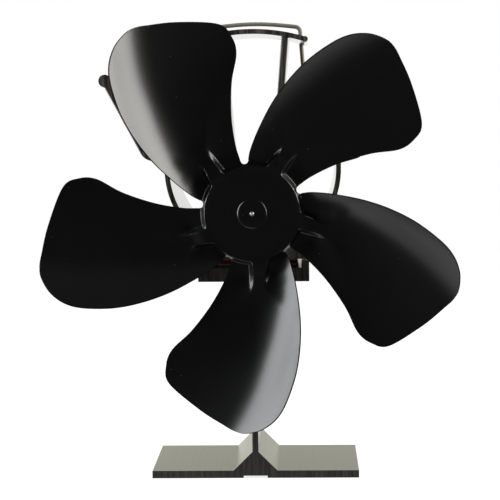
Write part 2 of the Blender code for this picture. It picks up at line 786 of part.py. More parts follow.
def make_end_cap(parent):
    """The plastic cap that closes the can, holds the rear bearing and lets the terminals out."""
    outer = MOTOR_RADIUS - MOTOR_WALL - STACK_GAP
    inside = MOTOR_BACK - END_CAP_THICKNESS
    back = bearing_back()
    seat = BEARING_RADIUS + PRESS_GAP
    profile = [
        (outer, inside), (outer, MOTOR_BACK), (BOSS_RADIUS, MOTOR_BACK), (BOSS_RADIUS, back),
        (seat, back), (seat, inside),
    ]
    cap = piece(
        "motor_end_cap", turned(profile, (0, 1, 0), ROUND),
        principled("end_cap_plastic", (0.03, 0.03, 0.035), 0.5, 0.0), parent,
    )
    for number, side in enumerate((-1, 1), 1):
        reach = TERMINAL_THICKNESS / 2 + STACK_GAP
        width = TERMINAL_WIDTH / 2 + STACK_GAP
        slot = block(
            (side * TERMINAL_OUT - reach, inside - CUT_OVERRUN, -width),
            (side * TERMINAL_OUT + reach, MOTOR_BACK + CUT_OVERRUN, width),
        )
        cut(cap, cutter(f"terminal_slot_{number}", slot, parent))


def make_terminals(parent):
    """Two brass blades, each with a sprung brush that presses on the commutator."""
    brass = principled("terminal_brass", (0.6, 0.45, 0.2), 0.35, 1.0)
    copper = principled("brush_copper", (0.55, 0.28, 0.14), 0.4, 1.0)
    root = MOTOR_BACK - END_CAP_THICKNESS - COMMUTATOR_LENGTH / 2
    half_thickness = TERMINAL_THICKNESS / 2
    for number, side in enumerate((-1, 1), 1):
        blade = block(
            (side * TERMINAL_OUT - half_thickness, root, -TERMINAL_WIDTH / 2),
            (side * TERMINAL_OUT + half_thickness, MOTOR_BACK + TERMINAL_TAIL, TERMINAL_WIDTH / 2),
        )
        piece(f"motor_terminal_{number}", blade, brass, parent)
        far = TERMINAL_OUT - half_thickness - STACK_GAP
        near = COMMUTATOR_RADIUS + STACK_GAP
        leaf = block(
            (near, root, -BRUSH_WIDTH / 2), (far, root + BRUSH_THICKNESS, BRUSH_WIDTH / 2),
        )
        if side < 0:
            bmesh.ops.rotate(leaf, cent=(0, 0, 0), matrix=Matrix.Rotation(math.pi, 3, "Y"), verts=leaf.verts[:])
        piece(f"motor_brush_{number}", leaf, copper, parent)


def make_armature(parent):
    """The motor's own rotor: shaft, three-pole core, windings and commutator."""
    steel = principled("shaft_steel", (0.62, 0.62, 0.61), 0.22, 1.0)
    shaft_front = STAMP_FRONT - SHAFT_TIP_PROUD
    shaft_back = bearing_back() - STACK_GAP
    shaft = turned(
        [(0, shaft_front), (SHAFT_RADIUS - SHAFT_EDGE, shaft_front),
         (SHAFT_RADIUS, shaft_front + SHAFT_EDGE), (SHAFT_RADIUS, shaft_back - SHAFT_EDGE),
         (SHAFT_RADIUS - SHAFT_EDGE, shaft_back), (0, shaft_back)],
        (0, 1, 0), ROUND, close=False,
    )
    piece("motor_shaft", shaft, steel, parent)
    front = magnet_front() + (MAGNET_LENGTH - ARMATURE_LENGTH) / 2
    back = front + ARMATURE_LENGTH
    hole = disc((0, 0), SHAFT_RADIUS + PRESS_GAP, ROUND)
    core = [disc((0, 0), POLE_WIDTH, ROUND)]
    shoe_middle = ARMATURE_RADIUS - POLE_SHOE / 2
    for pole in range(POLE_COUNT):
        turn = 90 + 360 / POLE_COUNT * pole
        outward = Vector((math.cos(math.radians(turn)), math.sin(math.radians(turn))))
        core.append(bar(outward * SHAFT_RADIUS * 2, outward * shoe_middle, POLE_WIDTH))
        core.append(curved_band((0, 0), shoe_middle, POLE_SHOE, turn - POLE_ARC / 2, turn + POLE_ARC / 2))
    piece(
        "motor_armature", extruded(joined_area(core, [hole]), front, back),
        principled("core_steel", (0.35, 0.35, 0.36), 0.45, 1.0), parent,
    )
    make_windings(parent, front, back)
    commutator_back = MOTOR_BACK - END_CAP_THICKNESS - PART_GAP
    commutator = turned(
        bored_disc(COMMUTATOR_RADIUS, SHAFT_RADIUS + PRESS_GAP,
                   commutator_back - COMMUTATOR_LENGTH, commutator_back),
        (0, 1, 0), ROUND,
    )
    piece(
        "motor_commutator", commutator, principled("commutator_copper", (0.6, 0.32, 0.17), 0.3, 1.0), parent,
    )


def make_windings(parent, front, back):
    """One copper coil round each pole of the core, inside the pole's shoe."""
    copper = principled("winding_copper", (0.5, 0.2, 0.08), 0.35, 1.0)
    low = POLE_WIDTH * math.sqrt(3)
    half = POLE_WIDTH / 2 + STACK_GAP
    wide = half + WINDING_THICKNESS / 2
    high = math.sqrt((ARMATURE_RADIUS - POLE_SHOE) ** 2 - wide ** 2) - PART_GAP
    for number in range(POLE_COUNT):
        shape = bmesh.new()
        rings = []
        for out, reach in ((half, STACK_GAP), (wide, WINDING_THICKNESS / 2)):
            corners = (
                (-out, front - reach), (out, front - reach), (out, back + reach), (-out, back + reach),
            )
            rings.append([shape.verts.new((x, y, low)) for x, y in corners])
        for corner in range(4):
            following = (corner + 1) % 4
            shape.faces.new(
                (rings[0][corner], rings[0][following], rings[1][following], rings[1][corner])
            )
        pushed = bmesh.ops.extrude_face_region(shape, geom=shape.faces[:])
        raised = [item for item in pushed["geom"] if isinstance(item, bmesh.types.BMVert)]
        bmesh.ops.translate(shape, vec=(0, 0, high - low), verts=raised)
        turn = Matrix.Rotation(-math.tau * number / POLE_COUNT, 3, "Y")
        bmesh.ops.rotate(shape, cent=(0, 0, 0), matrix=turn, verts=shape.verts[:])
        bmesh.ops.recalc_face_normals(shape, faces=shape.faces[:])
        piece(f"motor_winding_{number + 1}", shape, copper, parent)


def make_grub_screw(parent):
    bottom = MOTOR_RADIUS + STACK_GAP
    top = bottom + GRUB_LENGTH
    grub = turned(
        [(0, bottom), (SCREW_RADIUS, bottom), (SCREW_RADIUS, top), (SOCKET_RADIUS, top),
         (SOCKET_RADIUS, top - SOCKET_DEPTH), (0, top - SOCKET_DEPTH)],
        (0, 0, 1), SMALL_ROUND, close=False,
    )
    piece(
        "motor_grub_screw", moved(grub, (0, grub_place(), 0)),
        principled("grub_steel", (0.08, 0.08, 0.085), 0.4, 1.0), parent,
    )


# Rotor

def smooth_step(low, high, value):
    share = min(1, max(0, (value - low) / (high - low)))
    return share * share * (3 - 2 * share)


def reading(table, share):
    """Read a table of (share, angle) rows with straight lines between them."""
    for (low, first), (high, last) in zip(table, table[1:]):
        if share <= high:
            return first + (last - first) * (share - low) / (high - low)
    return table[-1][1]


def edge_points(table, shares):
    """Places along a blade's edge, as (radius, angle), at shares of its length."""
    knots = [
        Vector((share * math.cos(math.radians(angle)), share * math.sin(math.radians(angle)), 0))
        for share, angle in table
    ]
    curve = through(knots, EDGE_SAMPLES * (len(knots) - 1))
    lengths = [0]
    for before, after in zip(curve, curve[1:]):
        lengths.append(lengths[-1] + (after - before).length)
    places = []
    for share in shares:
        wanted = share * lengths[-1]
        at = next(i for i in range(1, len(lengths)) if lengths[i] >= wanted - WELD)
        part = (wanted - lengths[at - 1]) / (lengths[at] - lengths[at - 1])
        spot = curve[at - 1].lerp(curve[at], part)
        places.append((spot.length * ROTOR_RADIUS, math.degrees(math.atan2(spot.y, spot.x))))
    return places


def blade_height(radius, angle):
    """How far the sheet stands forward of the rotor's root plane at a place on a blade."""
    share = radius / ROTOR_RADIUS
    leading = reading(LEADING_LINE_SHARES, share)
    trailing = reading(TRAILING_LINE_SHARES, share)
    across = min(SWEEP_LIMIT, max(0, (angle - trailing) / (leading - trailing)))
    slope = BLADE_RISE_SLOPE * max(0, radius - BLADE_RISE_START)
    blend = max(0, BLADE_RISE_BLEND - abs(slope - BLADE_RISE_TOP))
    rise = min(BLADE_RISE_TOP, slope) - blend ** 2 / BLADE_RISE_BLEND / 4
    curl = CURL_HEIGHT * smooth_step(HUB_RADIUS, ARM_LENGTH_OUT, radius)
    from_edge = math.radians(leading - angle) * radius
    curled = curl * max(0, 1 - from_edge / CURL_WIDTH) ** 2
    return (rise - curl) * across ** SWEEP_POWER + curled


def root_columns(radius):
    """Angles of the blade's columns near the hub, where they follow both sides of the star arm."""
    share = radius / ROTOR_RADIUS
    half_step = math.degrees(HUB_STEP / 2 / radius)
    first = reading(TRAILING_LINE_SHARES, share)
    last = reading(LEADING_LINE_SHARES, share)
    low = reading(ARM_TRAILING_SHARES, share)
    high = reading(ARM_LEADING_SHARES, share)
    return [
        first, (first + low) / 2, low - half_step, low + half_step, (low + high) / 2,
        high - half_step, high + half_step, (high + last) / 2, last,
    ]


def star_height(radius, column):
    """The star stands proud and dies out along the blades; beside its arms the sheet is pressed back."""
    proud = HUB_LIFT * (1 - smooth_step(HUB_RADIUS, ARM_MERGE_OUT, radius))
    if column in STAR_COLUMNS:
        return proud
    return proud - HUB_DEPTH * (1 - smooth_step(POCKET_RISE_OUT, ARM_LENGTH_OUT, radius))


def rotor_point(radius, angle, height):
    turn = math.radians(angle)
    return (radius * math.cos(turn), ROTOR_Y - height, radius * math.sin(turn))


def notch_edge(angle):
    """Radius of the round bottom of the notch between two blades."""
    aside = NOTCH_OUT * math.radians(angle - NOTCH_ANGLE)
    return NOTCH_OUT - math.sqrt(max(0, NOTCH_RADIUS ** 2 - aside ** 2))


def blade_rows(trailing, leading):
    """Rows of (radius, angle, height) places from the hub's edge to the blade's tip."""
    rows = []
    for (low_radius, low_angle), (high_radius, high_angle) in zip(trailing, leading):
        row = []
        for column, share in enumerate(COLUMN_SHARES):
            radius = low_radius + (high_radius - low_radius) * share
            even = low_angle + (high_angle - low_angle) * share
            far = smooth_step(COLUMNS_LEAVE_OUT, COLUMNS_EVEN_OUT, radius)
            near_angle = root_columns(radius)[column]
            if column in (0, len(COLUMN_SHARES) - 1):
                near_angle = even
            angle = near_angle + (even - near_angle) * far
            row.append((radius, angle, blade_height(radius, angle) + star_height(radius, column)))
        rows.append(row)
    return rows


def make_rotor(parent):
    """One pressed sheet: hub rings first, then the five blades, then its thickness."""
    rows = blade_rows(
        edge_points(TRAILING_EDGE_SHARES, ROW_SHARES), edge_points(LEADING_EDGE_SHARES, ROW_SHARES),
    )
    shape = bmesh.new()
    pitch = 360 / BLADE_COUNT
    root_angles = [angle for _, angle, _ in rows[0]]
    gap = root_angles[-1] - pitch - root_angles[0]
    notch_angles = [root_angles[0] + gap * share for share in NOTCH_SHARES]
    hub_rings = (
        (SHAFT_RADIUS + PRESS_GAP, HUB_LIFT + BOSS_STAMP_LIFT),
        (BOSS_STAMP_RADIUS - BOSS_STAMP_LIFT / 2, HUB_LIFT + BOSS_STAMP_LIFT),
        (BOSS_STAMP_RADIUS + BOSS_STAMP_LIFT / 2, HUB_LIFT),
        (HUB_RADIUS - HUB_STEP, HUB_LIFT),
    )
    rings = []
    for radius, height in hub_rings:
        ring = []
        for blade in range(BLADE_COUNT):
            for angle in (*notch_angles, *root_angles):
                ring.append(shape.verts.new(rotor_point(radius, angle + blade * pitch, height)))
        rings.append(ring)
    step_foot = []
    outer = []
    for blade in range(BLADE_COUNT):
        for angle in notch_angles:
            radius = notch_edge(angle)
            foot = min(HUB_RADIUS, radius - HUB_STEP_FOOT)
            for ring, place in ((step_foot, foot), (outer, radius)):
                height = star_height(place, None)
                ring.append(shape.verts.new(rotor_point(place, angle + blade * pitch, height)))
        for column, (radius, angle, height) in enumerate(rows[0]):
            foot_height = star_height(HUB_RADIUS, column)
            step_foot.append(shape.verts.new(rotor_point(HUB_RADIUS, angle + blade * pitch, foot_height)))
            outer.append(shape.verts.new(rotor_point(radius, angle + blade * pitch, height)))
    rings += [step_foot, outer]
    for inner_ring, outer_ring in zip(rings, rings[1:]):
        for at in range(len(inner_ring)):
            following = (at + 1) % len(inner_ring)
            shape.faces.new(
                (inner_ring[at], outer_ring[at], outer_ring[following], inner_ring[following])
            )
    across = len(COLUMN_SHARES)
    stride = len(notch_angles) + across
    for blade in range(BLADE_COUNT):
        start = blade * stride + len(notch_angles)
        last = outer[start:start + across]
        for row in rows[1:-1]:
            made = [shape.verts.new(rotor_point(r, a + blade * pitch, h)) for r, a, h in row]
            for column in range(across - 1):
                shape.faces.new((last[column], made[column], made[column + 1], last[column + 1]))
            last = made
        radius, angle, height = rows[-1][0]
        tip = shape.verts.new(rotor_point(radius, angle + blade * pitch, height))
        for column in range(across - 1):
            shape.faces.new((last[column], tip, last[column + 1]))
    rotor = piece("fan_rotor", shape, principled("rotor_black", (0.011, 0.011, 0.012), 0.36, 0.2), parent)
    thickness = rotor.modifiers.new("sheet_thickness", "SOLIDIFY")
    thickness.thickness = ROTOR_THICKNESS
    thickness.offset = -1
    return rotor


def make_hub_bush(parent):
    """The turned brass bush behind the hub, pressed on the shaft."""
    front = STAMP_FRONT + ROTOR_THICKNESS + STACK_GAP
    bore = SHAFT_RADIUS + PRESS_GAP
    flange_back = front + BUSH_FLANGE_THICKNESS
    back = front + BUSH_LENGTH
    bush = turned(
        [(BUSH_FLANGE_RADIUS, front), (BUSH_FLANGE_RADIUS, flange_back), (BUSH_RADIUS, flange_back),
         (BUSH_RADIUS, back), (bore, back), (bore, front)],
        (0, 1, 0), ROUND,
    )
    piece("hub_bush", bush, principled("bush_brass", (0.62, 0.47, 0.2), 0.3, 1.0), parent)


# Leads

def make_leads(parent):
    """Two insulated leads run out behind the module, up and into the back of the motor ring."""
    colours = (("lead_black", -1, (0.01, 0.01, 0.01)), ("lead_red", 1, (0.5, 0.02, 0.015)))
    start_z = PELLET_BOTTOM + PELLET_HEIGHT / 2
    behind = EXTRUSION_BACK + LEAD_BEHIND
    bore_z = MOTOR_Z - RING_BORE / 2
    solder = MOTOR_BACK + TERMINAL_TAIL + PART_GAP
    for name, side, colour in colours:
        out = side * LEAD_OUT
        points = [
            Vector((out, MODULE_SIZE / 2, start_z)),
            Vector((out, EXTRUSION_BACK - LEAD_RADIUS, start_z)),
            Vector((out, behind - LEAD_RADIUS, start_z + LEAD_BEHIND)),
            Vector((out, behind, (start_z + bore_z) / 2)),
            Vector((side * LEAD_IN_OUT, EXTRUSION_BACK + LEAD_RADIUS, bore_z)),
            Vector((side * (LEAD_IN_OUT + TERMINAL_OUT) / 2, (EXTRUSION_BACK + solder) / 2,
                    (bore_z + MOTOR_Z) / 2)),
            Vector((side * TERMINAL_OUT, solder, MOTOR_Z)),
        ]
        material = principled(name, colour, 0.5, 0.0)
        wire(name, through(points, LEAD_SAMPLES), LEAD_RADIUS, 2, material, parent)


# Handle

def handle_route():
    """The wire's middle line, about the hinge axis, from the left pin to the right pin."""
    lean = math.asin((EXTRUSION_BACK + WIRE_RADIUS + PART_GAP - HANDLE_PIVOT_BACK)
                     / (MOTOR_Z + ARCH_RADIUS - SINK_WALL - WIRE_RADIUS - PIVOT_Z))
    pin_end = BOWL_RADIUS + HANDLE_PIN_PROUD
    foot = Vector((HANDLE_FOOT_OUT, 0))
    top = Vector((HANDLE_TOP_OUT, HANDLE_RISE - HANDLE_BOW))
    half = [Vector((pin_end, 0))]
    half += rounded_corner(Vector((pin_end, 0)), foot, top, WIRE_BEND)
    half += rounded_corner(foot, top, Vector((0, HANDLE_RISE)), WIRE_BEND)
    bow_steps = 4
    start = half[-1]
    for step in range(1, bow_steps + 1):
        share = step / bow_steps
        half.append(Vector((
            start.x * (1 - share),
            start.y + (HANDLE_RISE - start.y) * math.sin(share * math.pi / 2),
        )))
    flat = [Vector((-point.x, point.y)) for point in half]
    flat += [point for point in reversed(half[:-1])]
    return [Vector((x, z * math.sin(lean), z * math.cos(lean))) for x, z in flat]


def rounded_corner(before, corner, after, radius):
    """Points of the bend that takes the place of a corner."""
    to_before = (before - corner).normalized()
    to_after = (after - corner).normalized()
    half_angle = to_before.angle(to_after) / 2
    reach = radius / math.tan(half_angle)
    middle = corner + (to_before + to_after).normalized() * radius / math.sin(half_angle)
    first = corner + to_before * reach - middle
    last = corner + to_after * reach - middle
    turn = first.angle_signed(last)
    steps = 4
    return [
        middle + Matrix.Rotation(-turn * step / steps, 2) @ first for step in range(steps + 1)
    ]


def make_handle(parent):
    steel = principled("handle_steel", (0.36, 0.36, 0.34), 0.28, 1.0)
    wire("handle_wire", handle_route(), WIRE_RADIUS, 3, steel, parent)


# The whole fan

def centre_depth(root):
    """Slide the fan along Y so that its origin lies under the middle of its whole depth."""
    bpy.context.view_layer.update()
    graph = bpy.context.evaluated_depsgraph_get()
    places = []
    for item in bpy.data.objects:
        if item.type == "EMPTY" or item.hide_render:
            continue
        shown = item.evaluated_get(graph)
        places.extend((item.matrix_world @ vertex.co).y for vertex in shown.to_mesh().vertices)
        shown.to_mesh_clear()
    root.location.y = -(min(places) + max(places)) / 2


def build():
    clear_scene()
    fan = empty("fan_root", (0, 0, 0))
    motor_axis = empty("motor_axis", (0, 0, MOTOR_Z), fan)
    rotor_axis = empty("rotor_axis", (0, 0, MOTOR_Z), fan)
    handle_axis = empty("handle_axis", (0, HANDLE_PIVOT_BACK, PIVOT_Z), fan)
    make_base(fan)
    make_bimetal(fan)
    make_module(fan)
    make_sink(fan)
    make_clamps(fan)
    make_motor(motor_axis)
    make_grub_screw(motor_axis)
    make_armature(rotor_axis)
    make_hub_bush(rotor_axis)
    make_rotor(rotor_axis)
    make_leads(fan)
    make_handle(handle_axis)
    centre_depth(fan)


build()
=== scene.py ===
import math

import bmesh
import bpy
from mathutils import Matrix, Vector


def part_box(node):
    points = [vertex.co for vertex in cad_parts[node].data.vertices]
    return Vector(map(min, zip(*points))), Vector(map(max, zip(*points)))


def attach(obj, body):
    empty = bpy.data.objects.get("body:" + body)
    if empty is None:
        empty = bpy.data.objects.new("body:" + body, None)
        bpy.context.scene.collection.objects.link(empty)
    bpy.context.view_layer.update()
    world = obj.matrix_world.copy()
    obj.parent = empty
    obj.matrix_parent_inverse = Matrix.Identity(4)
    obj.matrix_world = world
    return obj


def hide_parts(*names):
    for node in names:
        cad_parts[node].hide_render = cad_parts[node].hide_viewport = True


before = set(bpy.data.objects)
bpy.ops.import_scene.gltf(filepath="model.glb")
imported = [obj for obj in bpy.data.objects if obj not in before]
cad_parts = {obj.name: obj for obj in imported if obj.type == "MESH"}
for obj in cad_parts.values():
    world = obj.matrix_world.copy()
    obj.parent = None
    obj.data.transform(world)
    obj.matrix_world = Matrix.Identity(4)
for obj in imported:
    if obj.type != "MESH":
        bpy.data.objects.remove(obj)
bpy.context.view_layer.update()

depth_shift = (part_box("base_extrusion")[0].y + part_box("base_extrusion")[1].y) / 2


# Camera
# It stands a little right of the fan's middle, above the rotor's shaft, and looks slightly down,
# with the long lens that the depth of the foot in the photograph asks for.

LENS = 130.37
CAMERA_PLACE = (0.0234, depth_shift - 0.8553, 0.1740)
CAMERA_YAW, CAMERA_PITCH, CAMERA_ROLL = 1.735, 4.739, -0.574


def placed(name, data):
    """A new object in the scene."""
    made = bpy.data.objects.new(name, data)
    bpy.context.scene.collection.objects.link(made)
    return made


camera_data = bpy.data.cameras.new("camera")
camera_data.lens = LENS
camera_data.sensor_width = 36
camera = placed("camera", camera_data)
camera.matrix_world = (
    Matrix.Translation(CAMERA_PLACE)
    @ Matrix.Rotation(math.radians(CAMERA_YAW), 4, "Z")
    @ Matrix.Rotation(math.radians(90 - CAMERA_PITCH), 4, "X")
    @ Matrix.Rotation(math.radians(CAMERA_ROLL), 4, "Z")
)
bpy.context.scene.camera = camera
bpy.context.scene.view_settings.view_transform = "Standard"


# Studio
# A white table and a white wall behind it, dark room in front, and one large soft box on each side.
# The table glows a little for the camera and for reflections, so that only a light shadow stays; but
# in front of the fan and away from it, less so to its left, reflections see it dark: painted shade in
# what the fan mirrors.

FLOOR_REACH = 4.0
FLOOR_DROP = 0.00005
FLOOR_COLOUR = (0.22, 0.22, 0.218)
FLOOR_GLOW = 0.80
FLOOR_DARK = 0.05
SHADOW_REACH = (0.5, 1.2)
TABLE_FRONT = (0.06, -0.08)
LEFT_REACH = -0.4
NEAR_TABLE = (0.060, 0.110)
NEAR_MIDDLE = (-0.03, 0, 0)
WALL_FADE = (0.05, 0.5)
WALL_TOP = (0.85, 0.5)
CEILING = 0.08
CEILING_FADE = (0.6, 0.9)
ROOM_DARK = 0.009
ROOM_FILL = 0.12
TOP_FILL = 1.5
TOP_FADE = (0.2, 0.9)
SIDE_GLOW = 0.5
SIDE_FADE = (0.55, 0.98)
SIDE_FALL = 3.0
BOX_MIDDLE = Vector((0, 0, 0.11))
BOX_DISTANCE = 0.75
BOX_SIZE = (0.55, 0.70)

floor_shape = bmesh.new()
bmesh.ops.create_grid(floor_shape, x_segments=1, y_segments=1, size=FLOOR_REACH)
bmesh.ops.translate(floor_shape, vec=(0, 0, -FLOOR_DROP), verts=floor_shape.verts[:])
floor_mesh = bpy.data.meshes.new("floor")
floor_shape.to_mesh(floor_mesh)
floor_shape.free()
floor = placed("floor", floor_mesh)


def fill(tree, target, sockets):
    """Give a node's sockets their values, or link them to other sockets."""
    for socket, value in sockets.items():
        if isinstance(value, bpy.types.NodeSocket):
            tree.links.new(value, target.inputs[socket])
        else:
            target.inputs[socket].default_value = value


def node(tree, kind, sockets=None, **settings):
    """Add one shader node, set its plain properties and give what comes out of it."""
    made = tree.nodes.new(kind)
    for name, value in settings.items():
        setattr(made, name, value)
    fill(tree, made, sockets or {})
    return made.outputs


def reckoned(tree, operation, *values):
    """One sum of values and sockets."""
    return node(tree, "ShaderNodeMath", dict(enumerate(values)), operation=operation)["Value"]


def spread(tree, value, low, high, to_low=0, to_high=1, kind="LINEAR"):
    """Bring a value from one range to another."""
    ranges = {"Value": value, "From Min": low, "From Max": high, "To Min": to_low, "To Max": to_high}
    return node(tree, "ShaderNodeMapRange", ranges, interpolation_type=kind)["Result"]


def eased(tree, value, fade, to_low=0, to_high=1):
    """The same with soft ends; a fade is (where it starts, where it is complete)."""
    return spread(tree, value, *fade, to_low, to_high, "SMOOTHSTEP")


def grey_light(tree, level):
    return node(tree, "ShaderNodeEmission", {"Color": (level, level, level, 1)})["Emission"]


def mixed(tree, share, first, second):
    return node(tree, "ShaderNodeMixShader", {"Fac": share, 1: first, 2: second})["Shader"]


floor_white = bpy.data.materials.new("floor_white")
floor_white.use_nodes = True
tree = floor_white.node_tree
tree.nodes.clear()
place = node(tree, "ShaderNodeTexCoord")["Object"]
ray = node(tree, "ShaderNodeLightPath")
sides = node(tree, "ShaderNodeSeparateXYZ", {"Vector": place})
far = node(tree, "ShaderNodeVectorMath", {0: place}, operation="LENGTH")["Value"]
near = node(tree, "ShaderNodeVectorMath", {0: place, 1: NEAR_MIDDLE}, operation="DISTANCE")["Value"]
chalk = node(tree, "ShaderNodeBsdfDiffuse", {"Color": (*FLOOR_COLOUR, 1)})["BSDF"]
lit = node(tree, "ShaderNodeAddShader", {0: chalk, 1: grey_light(tree, FLOOR_GLOW)})["Shader"]
fade = mixed(tree, eased(tree, far, SHADOW_REACH), lit, grey_light(tree, 1))
# Reflections see the table dark in front of the fan, away from its foot and less so to its left: a
# painted shade in what its black surfaces mirror. Light bounced from the table is dark too.
leftward = reckoned(tree, "MINIMUM", sides["X"], 0)
lit_left = reckoned(tree, "MULTIPLY_ADD", leftward, LEFT_REACH, sides["Y"])
painted_reflection_shade = reckoned(
    tree, "MULTIPLY", eased(tree, near, NEAR_TABLE), eased(tree, lit_left, TABLE_FRONT),
)
mirrored = reckoned(tree, "MULTIPLY", ray["Is Glossy Ray"], painted_reflection_shade)
unseen = reckoned(tree, "MAXIMUM", ray["Is Diffuse Ray"], mirrored)
shown = mixed(tree, unseen, fade, grey_light(tree, FLOOR_DARK))
node(tree, "ShaderNodeOutputMaterial", {"Surface": shown})
floor.data.materials.append(floor_white)

world = bpy.data.worlds.new("room")
bpy.context.scene.world = world
world.use_nodes = True
tree = world.node_tree
tree.nodes.clear()
place = node(tree, "ShaderNodeTexCoord")["Generated"]
ray = node(tree, "ShaderNodeLightPath")
sides = node(tree, "ShaderNodeSeparateXYZ", {"Vector": place})
below_top = eased(tree, sides["Z"], WALL_TOP)
ceiling = eased(tree, sides["Z"], CEILING_FADE, ROOM_DARK, CEILING)
back_wall = reckoned(tree, "MULTIPLY_ADD", eased(tree, sides["Y"], WALL_FADE), below_top, ceiling)
beside = reckoned(tree, "POWER", eased(tree, sides["X"], SIDE_FADE), SIDE_FALL)
mirrored = reckoned(
    tree, "MULTIPLY", ray["Is Glossy Ray"],
    reckoned(tree, "MULTIPLY_ADD", beside, SIDE_GLOW, back_wall),
)
from_above = eased(tree, sides["Z"], TOP_FADE, ROOM_FILL, TOP_FILL)
filled = reckoned(tree, "MULTIPLY_ADD", ray["Is Diffuse Ray"], from_above, mirrored)
clear_view = reckoned(tree, "MAXIMUM", ray["Is Camera Ray"], ray["Is Transmission Ray"])
strength = reckoned(tree, "ADD", filled, clear_view)
background = node(tree, "ShaderNodeBackground", {"Color": (1, 1, 1, 1), "Strength": strength})
node(tree, "ShaderNodeOutputWorld", {"Surface": background["Background"]})


def soft_box(name, turn, rise, power, colour):
    """A large lamp beside the fan, turned from straight in front by so many degrees."""
    lamp = bpy.data.lights.new(name, "AREA")
    lamp.shape = "RECTANGLE"
    lamp.size, lamp.size_y = BOX_SIZE
    lamp.energy = power
    lamp.color = colour
    turn, rise = math.radians(turn), math.radians(rise)
    outward = Vector((
        math.sin(turn) * math.cos(rise), -math.cos(turn) * math.cos(rise), math.sin(rise),
    ))
    box = placed(name, lamp)
    box.location = BOX_MIDDLE + outward * BOX_DISTANCE
    box.rotation_euler = outward.to_track_quat("Z", "Y").to_euler()


soft_box("soft_box_right", 85, 20, 13.0, (1.0, 0.98, 0.93))
soft_box("soft_box_left", -79, 17, 10.4, (0.97, 0.99, 1.0))


# Base extrusion
# Foot, web, thin stem and hot plate are one aluminium profile, pressed through a die, sawn to length
# and anodised black. Its long faces are smooth; the sawn ends keep fine upright saw marks.

EXTRUSION_DEPTH = 0.062
EXTRUSION_FRONT = depth_shift - EXTRUSION_DEPTH / 2
EXTRUSION_BACK = depth_shift + EXTRUSION_DEPTH / 2
FOOT_WIDTH = 0.0955
FOOT_THICKNESS = 0.00344
GROOVE_WIDTH = 0.0111
GROOVE_HEIGHT = 0.00105
WEB_WIDTH = 0.0203
STEM_THICKNESS = 0.00275
STEM_FILLET = 0.004
PLATE_WIDTH = 0.0509
PLATE_BOTTOM = 0.0911
PLATE_THICKNESS = 0.0062
RECESS_FLOOR = PLATE_BOTTOM + PLATE_THICKNESS
LIP_WIDTH = 0.0035
LIP_HEIGHT = 0.0034
PROFILE_ROUNDING = 0.0002
SAW_PITCH = (700.0, 300.0, 40.0)
DIE_LINES = (900.0, 8.0, 900.0)
SCREW_RADIUS = 0.0015
SCREW_OUT = 0.009
SCREW_FROM_END = 0.005
SLEEVE_WALL = 0.0004
THREAD_GAP = 0.00008
RIVET_RADIUS = 0.0012
RIVET_LENGTH = 0.006
RIVET_BACK = 0.019
ROUND = 48
SPARE = 0.001
WELD = 0.000002
SMOOTH_ANGLE = 32.0


def shader_group(name, inputs, outputs):
    """An empty node group with its own named sockets, and what it is given."""
    group = bpy.data.node_groups.new(name, "ShaderNodeTree")
    for label, kind in inputs.items():
        group.interface.new_socket(label, in_out="INPUT", socket_type=kind)
    for label in outputs:
        group.interface.new_socket(label, in_out="OUTPUT", socket_type="NodeSocketFloat")
    return group, node(group, "NodeGroupInput")


def noise(tree, place, scale, detail, roughness=0.5):
    sockets = {"Vector": place, "Scale": scale, "Detail": detail, "Roughness": roughness}
    return node(tree, "ShaderNodeTexNoise", sockets)["Fac"]


def make_streaks():
    """Long thin marks, such as saw marks or die lines, drawn out along one axis."""
    group, given = shader_group(
        "streaks", {"Vector": "NodeSocketVector", "Stretch": "NodeSocketVector"}, ("Tone", "Height"),
    )
    place = {0: given["Vector"], 1: given["Stretch"]}
    stretched = node(group, "ShaderNodeVectorMath", place, operation="MULTIPLY")
    wide = noise(group, stretched["Vector"], 1.0, 4.0, 0.7)
    node(group, "NodeGroupOutput", {"Tone": spread(group, wide, 0.34, 0.66), "Height": wide})
    return group


def make_grain():
    """An even fine grain, such as the skin of a coat, with broad soft unevenness under it."""
    group, given = shader_group(
        "grain", {"Vector": "NodeSocketVector", "Size": "NodeSocketFloat"},
        ("Tone", "Height", "Broad"),
    )
    fine = noise(group, given["Vector"], reckoned(group, "DIVIDE", 1, given["Size"]), 3.0)
    broad = noise(group, given["Vector"], 45.0, 2.0)
    tone = spread(group, fine, 0.3, 0.7)
    node(group, "NodeGroupOutput", {"Tone": tone, "Height": fine, "Broad": broad})
    return group


STREAKS = make_streaks()
GRAIN = make_grain()


def coat(material, **values):
    """Set the material's own shader: a value or a socket for each of its inputs."""
    tree = material.node_tree
    sockets = {label.replace("_", " "): value for label, value in values.items()}
    fill(tree, tree.nodes["Principled BSDF"], sockets)


def plain_finish(name, roughness, metallic, specular=0.5, tint=(1, 1, 1)):
    """A new material, with what is the same all over the surface set on the shader itself."""
    material = bpy.data.materials.new(name)
    material.use_nodes = True
    coat(
        material, Roughness=roughness, Metallic=metallic, Specular_IOR_Level=specular,
        Specular_Tint=(*tint, 1),
    )
    return material


def pattern(material, group, **values):
    """Place a shared effect in a material, on the object's own coordinates."""
    tree = material.node_tree
    place = node(tree, "ShaderNodeTexCoord")["Object"]
    return node(tree, "ShaderNodeGroup", {"Vector": place, **values}, node_tree=group)


def colour_between(material, mask, dark, light):
    """Base colour that goes from dark to light with a mask."""
    sockets = {"Factor": mask, "A": (*dark, 1), "B": (*light, 1)}
    mix = node(material.node_tree, "ShaderNodeMix", sockets, data_type="RGBA")
    coat(material, Base_Color=mix["Result"])


def roughness_between(material, mask, low, high):
    coat(material, Roughness=spread(material.node_tree, mask, 0, 1, low, high))


def relief(material, height, depth):
    """Bump of a real depth in metres."""
    bump = node(material.node_tree, "ShaderNodeBump", {"Height": height, "Distance": depth})
    coat(material, Normal=bump["Normal"])


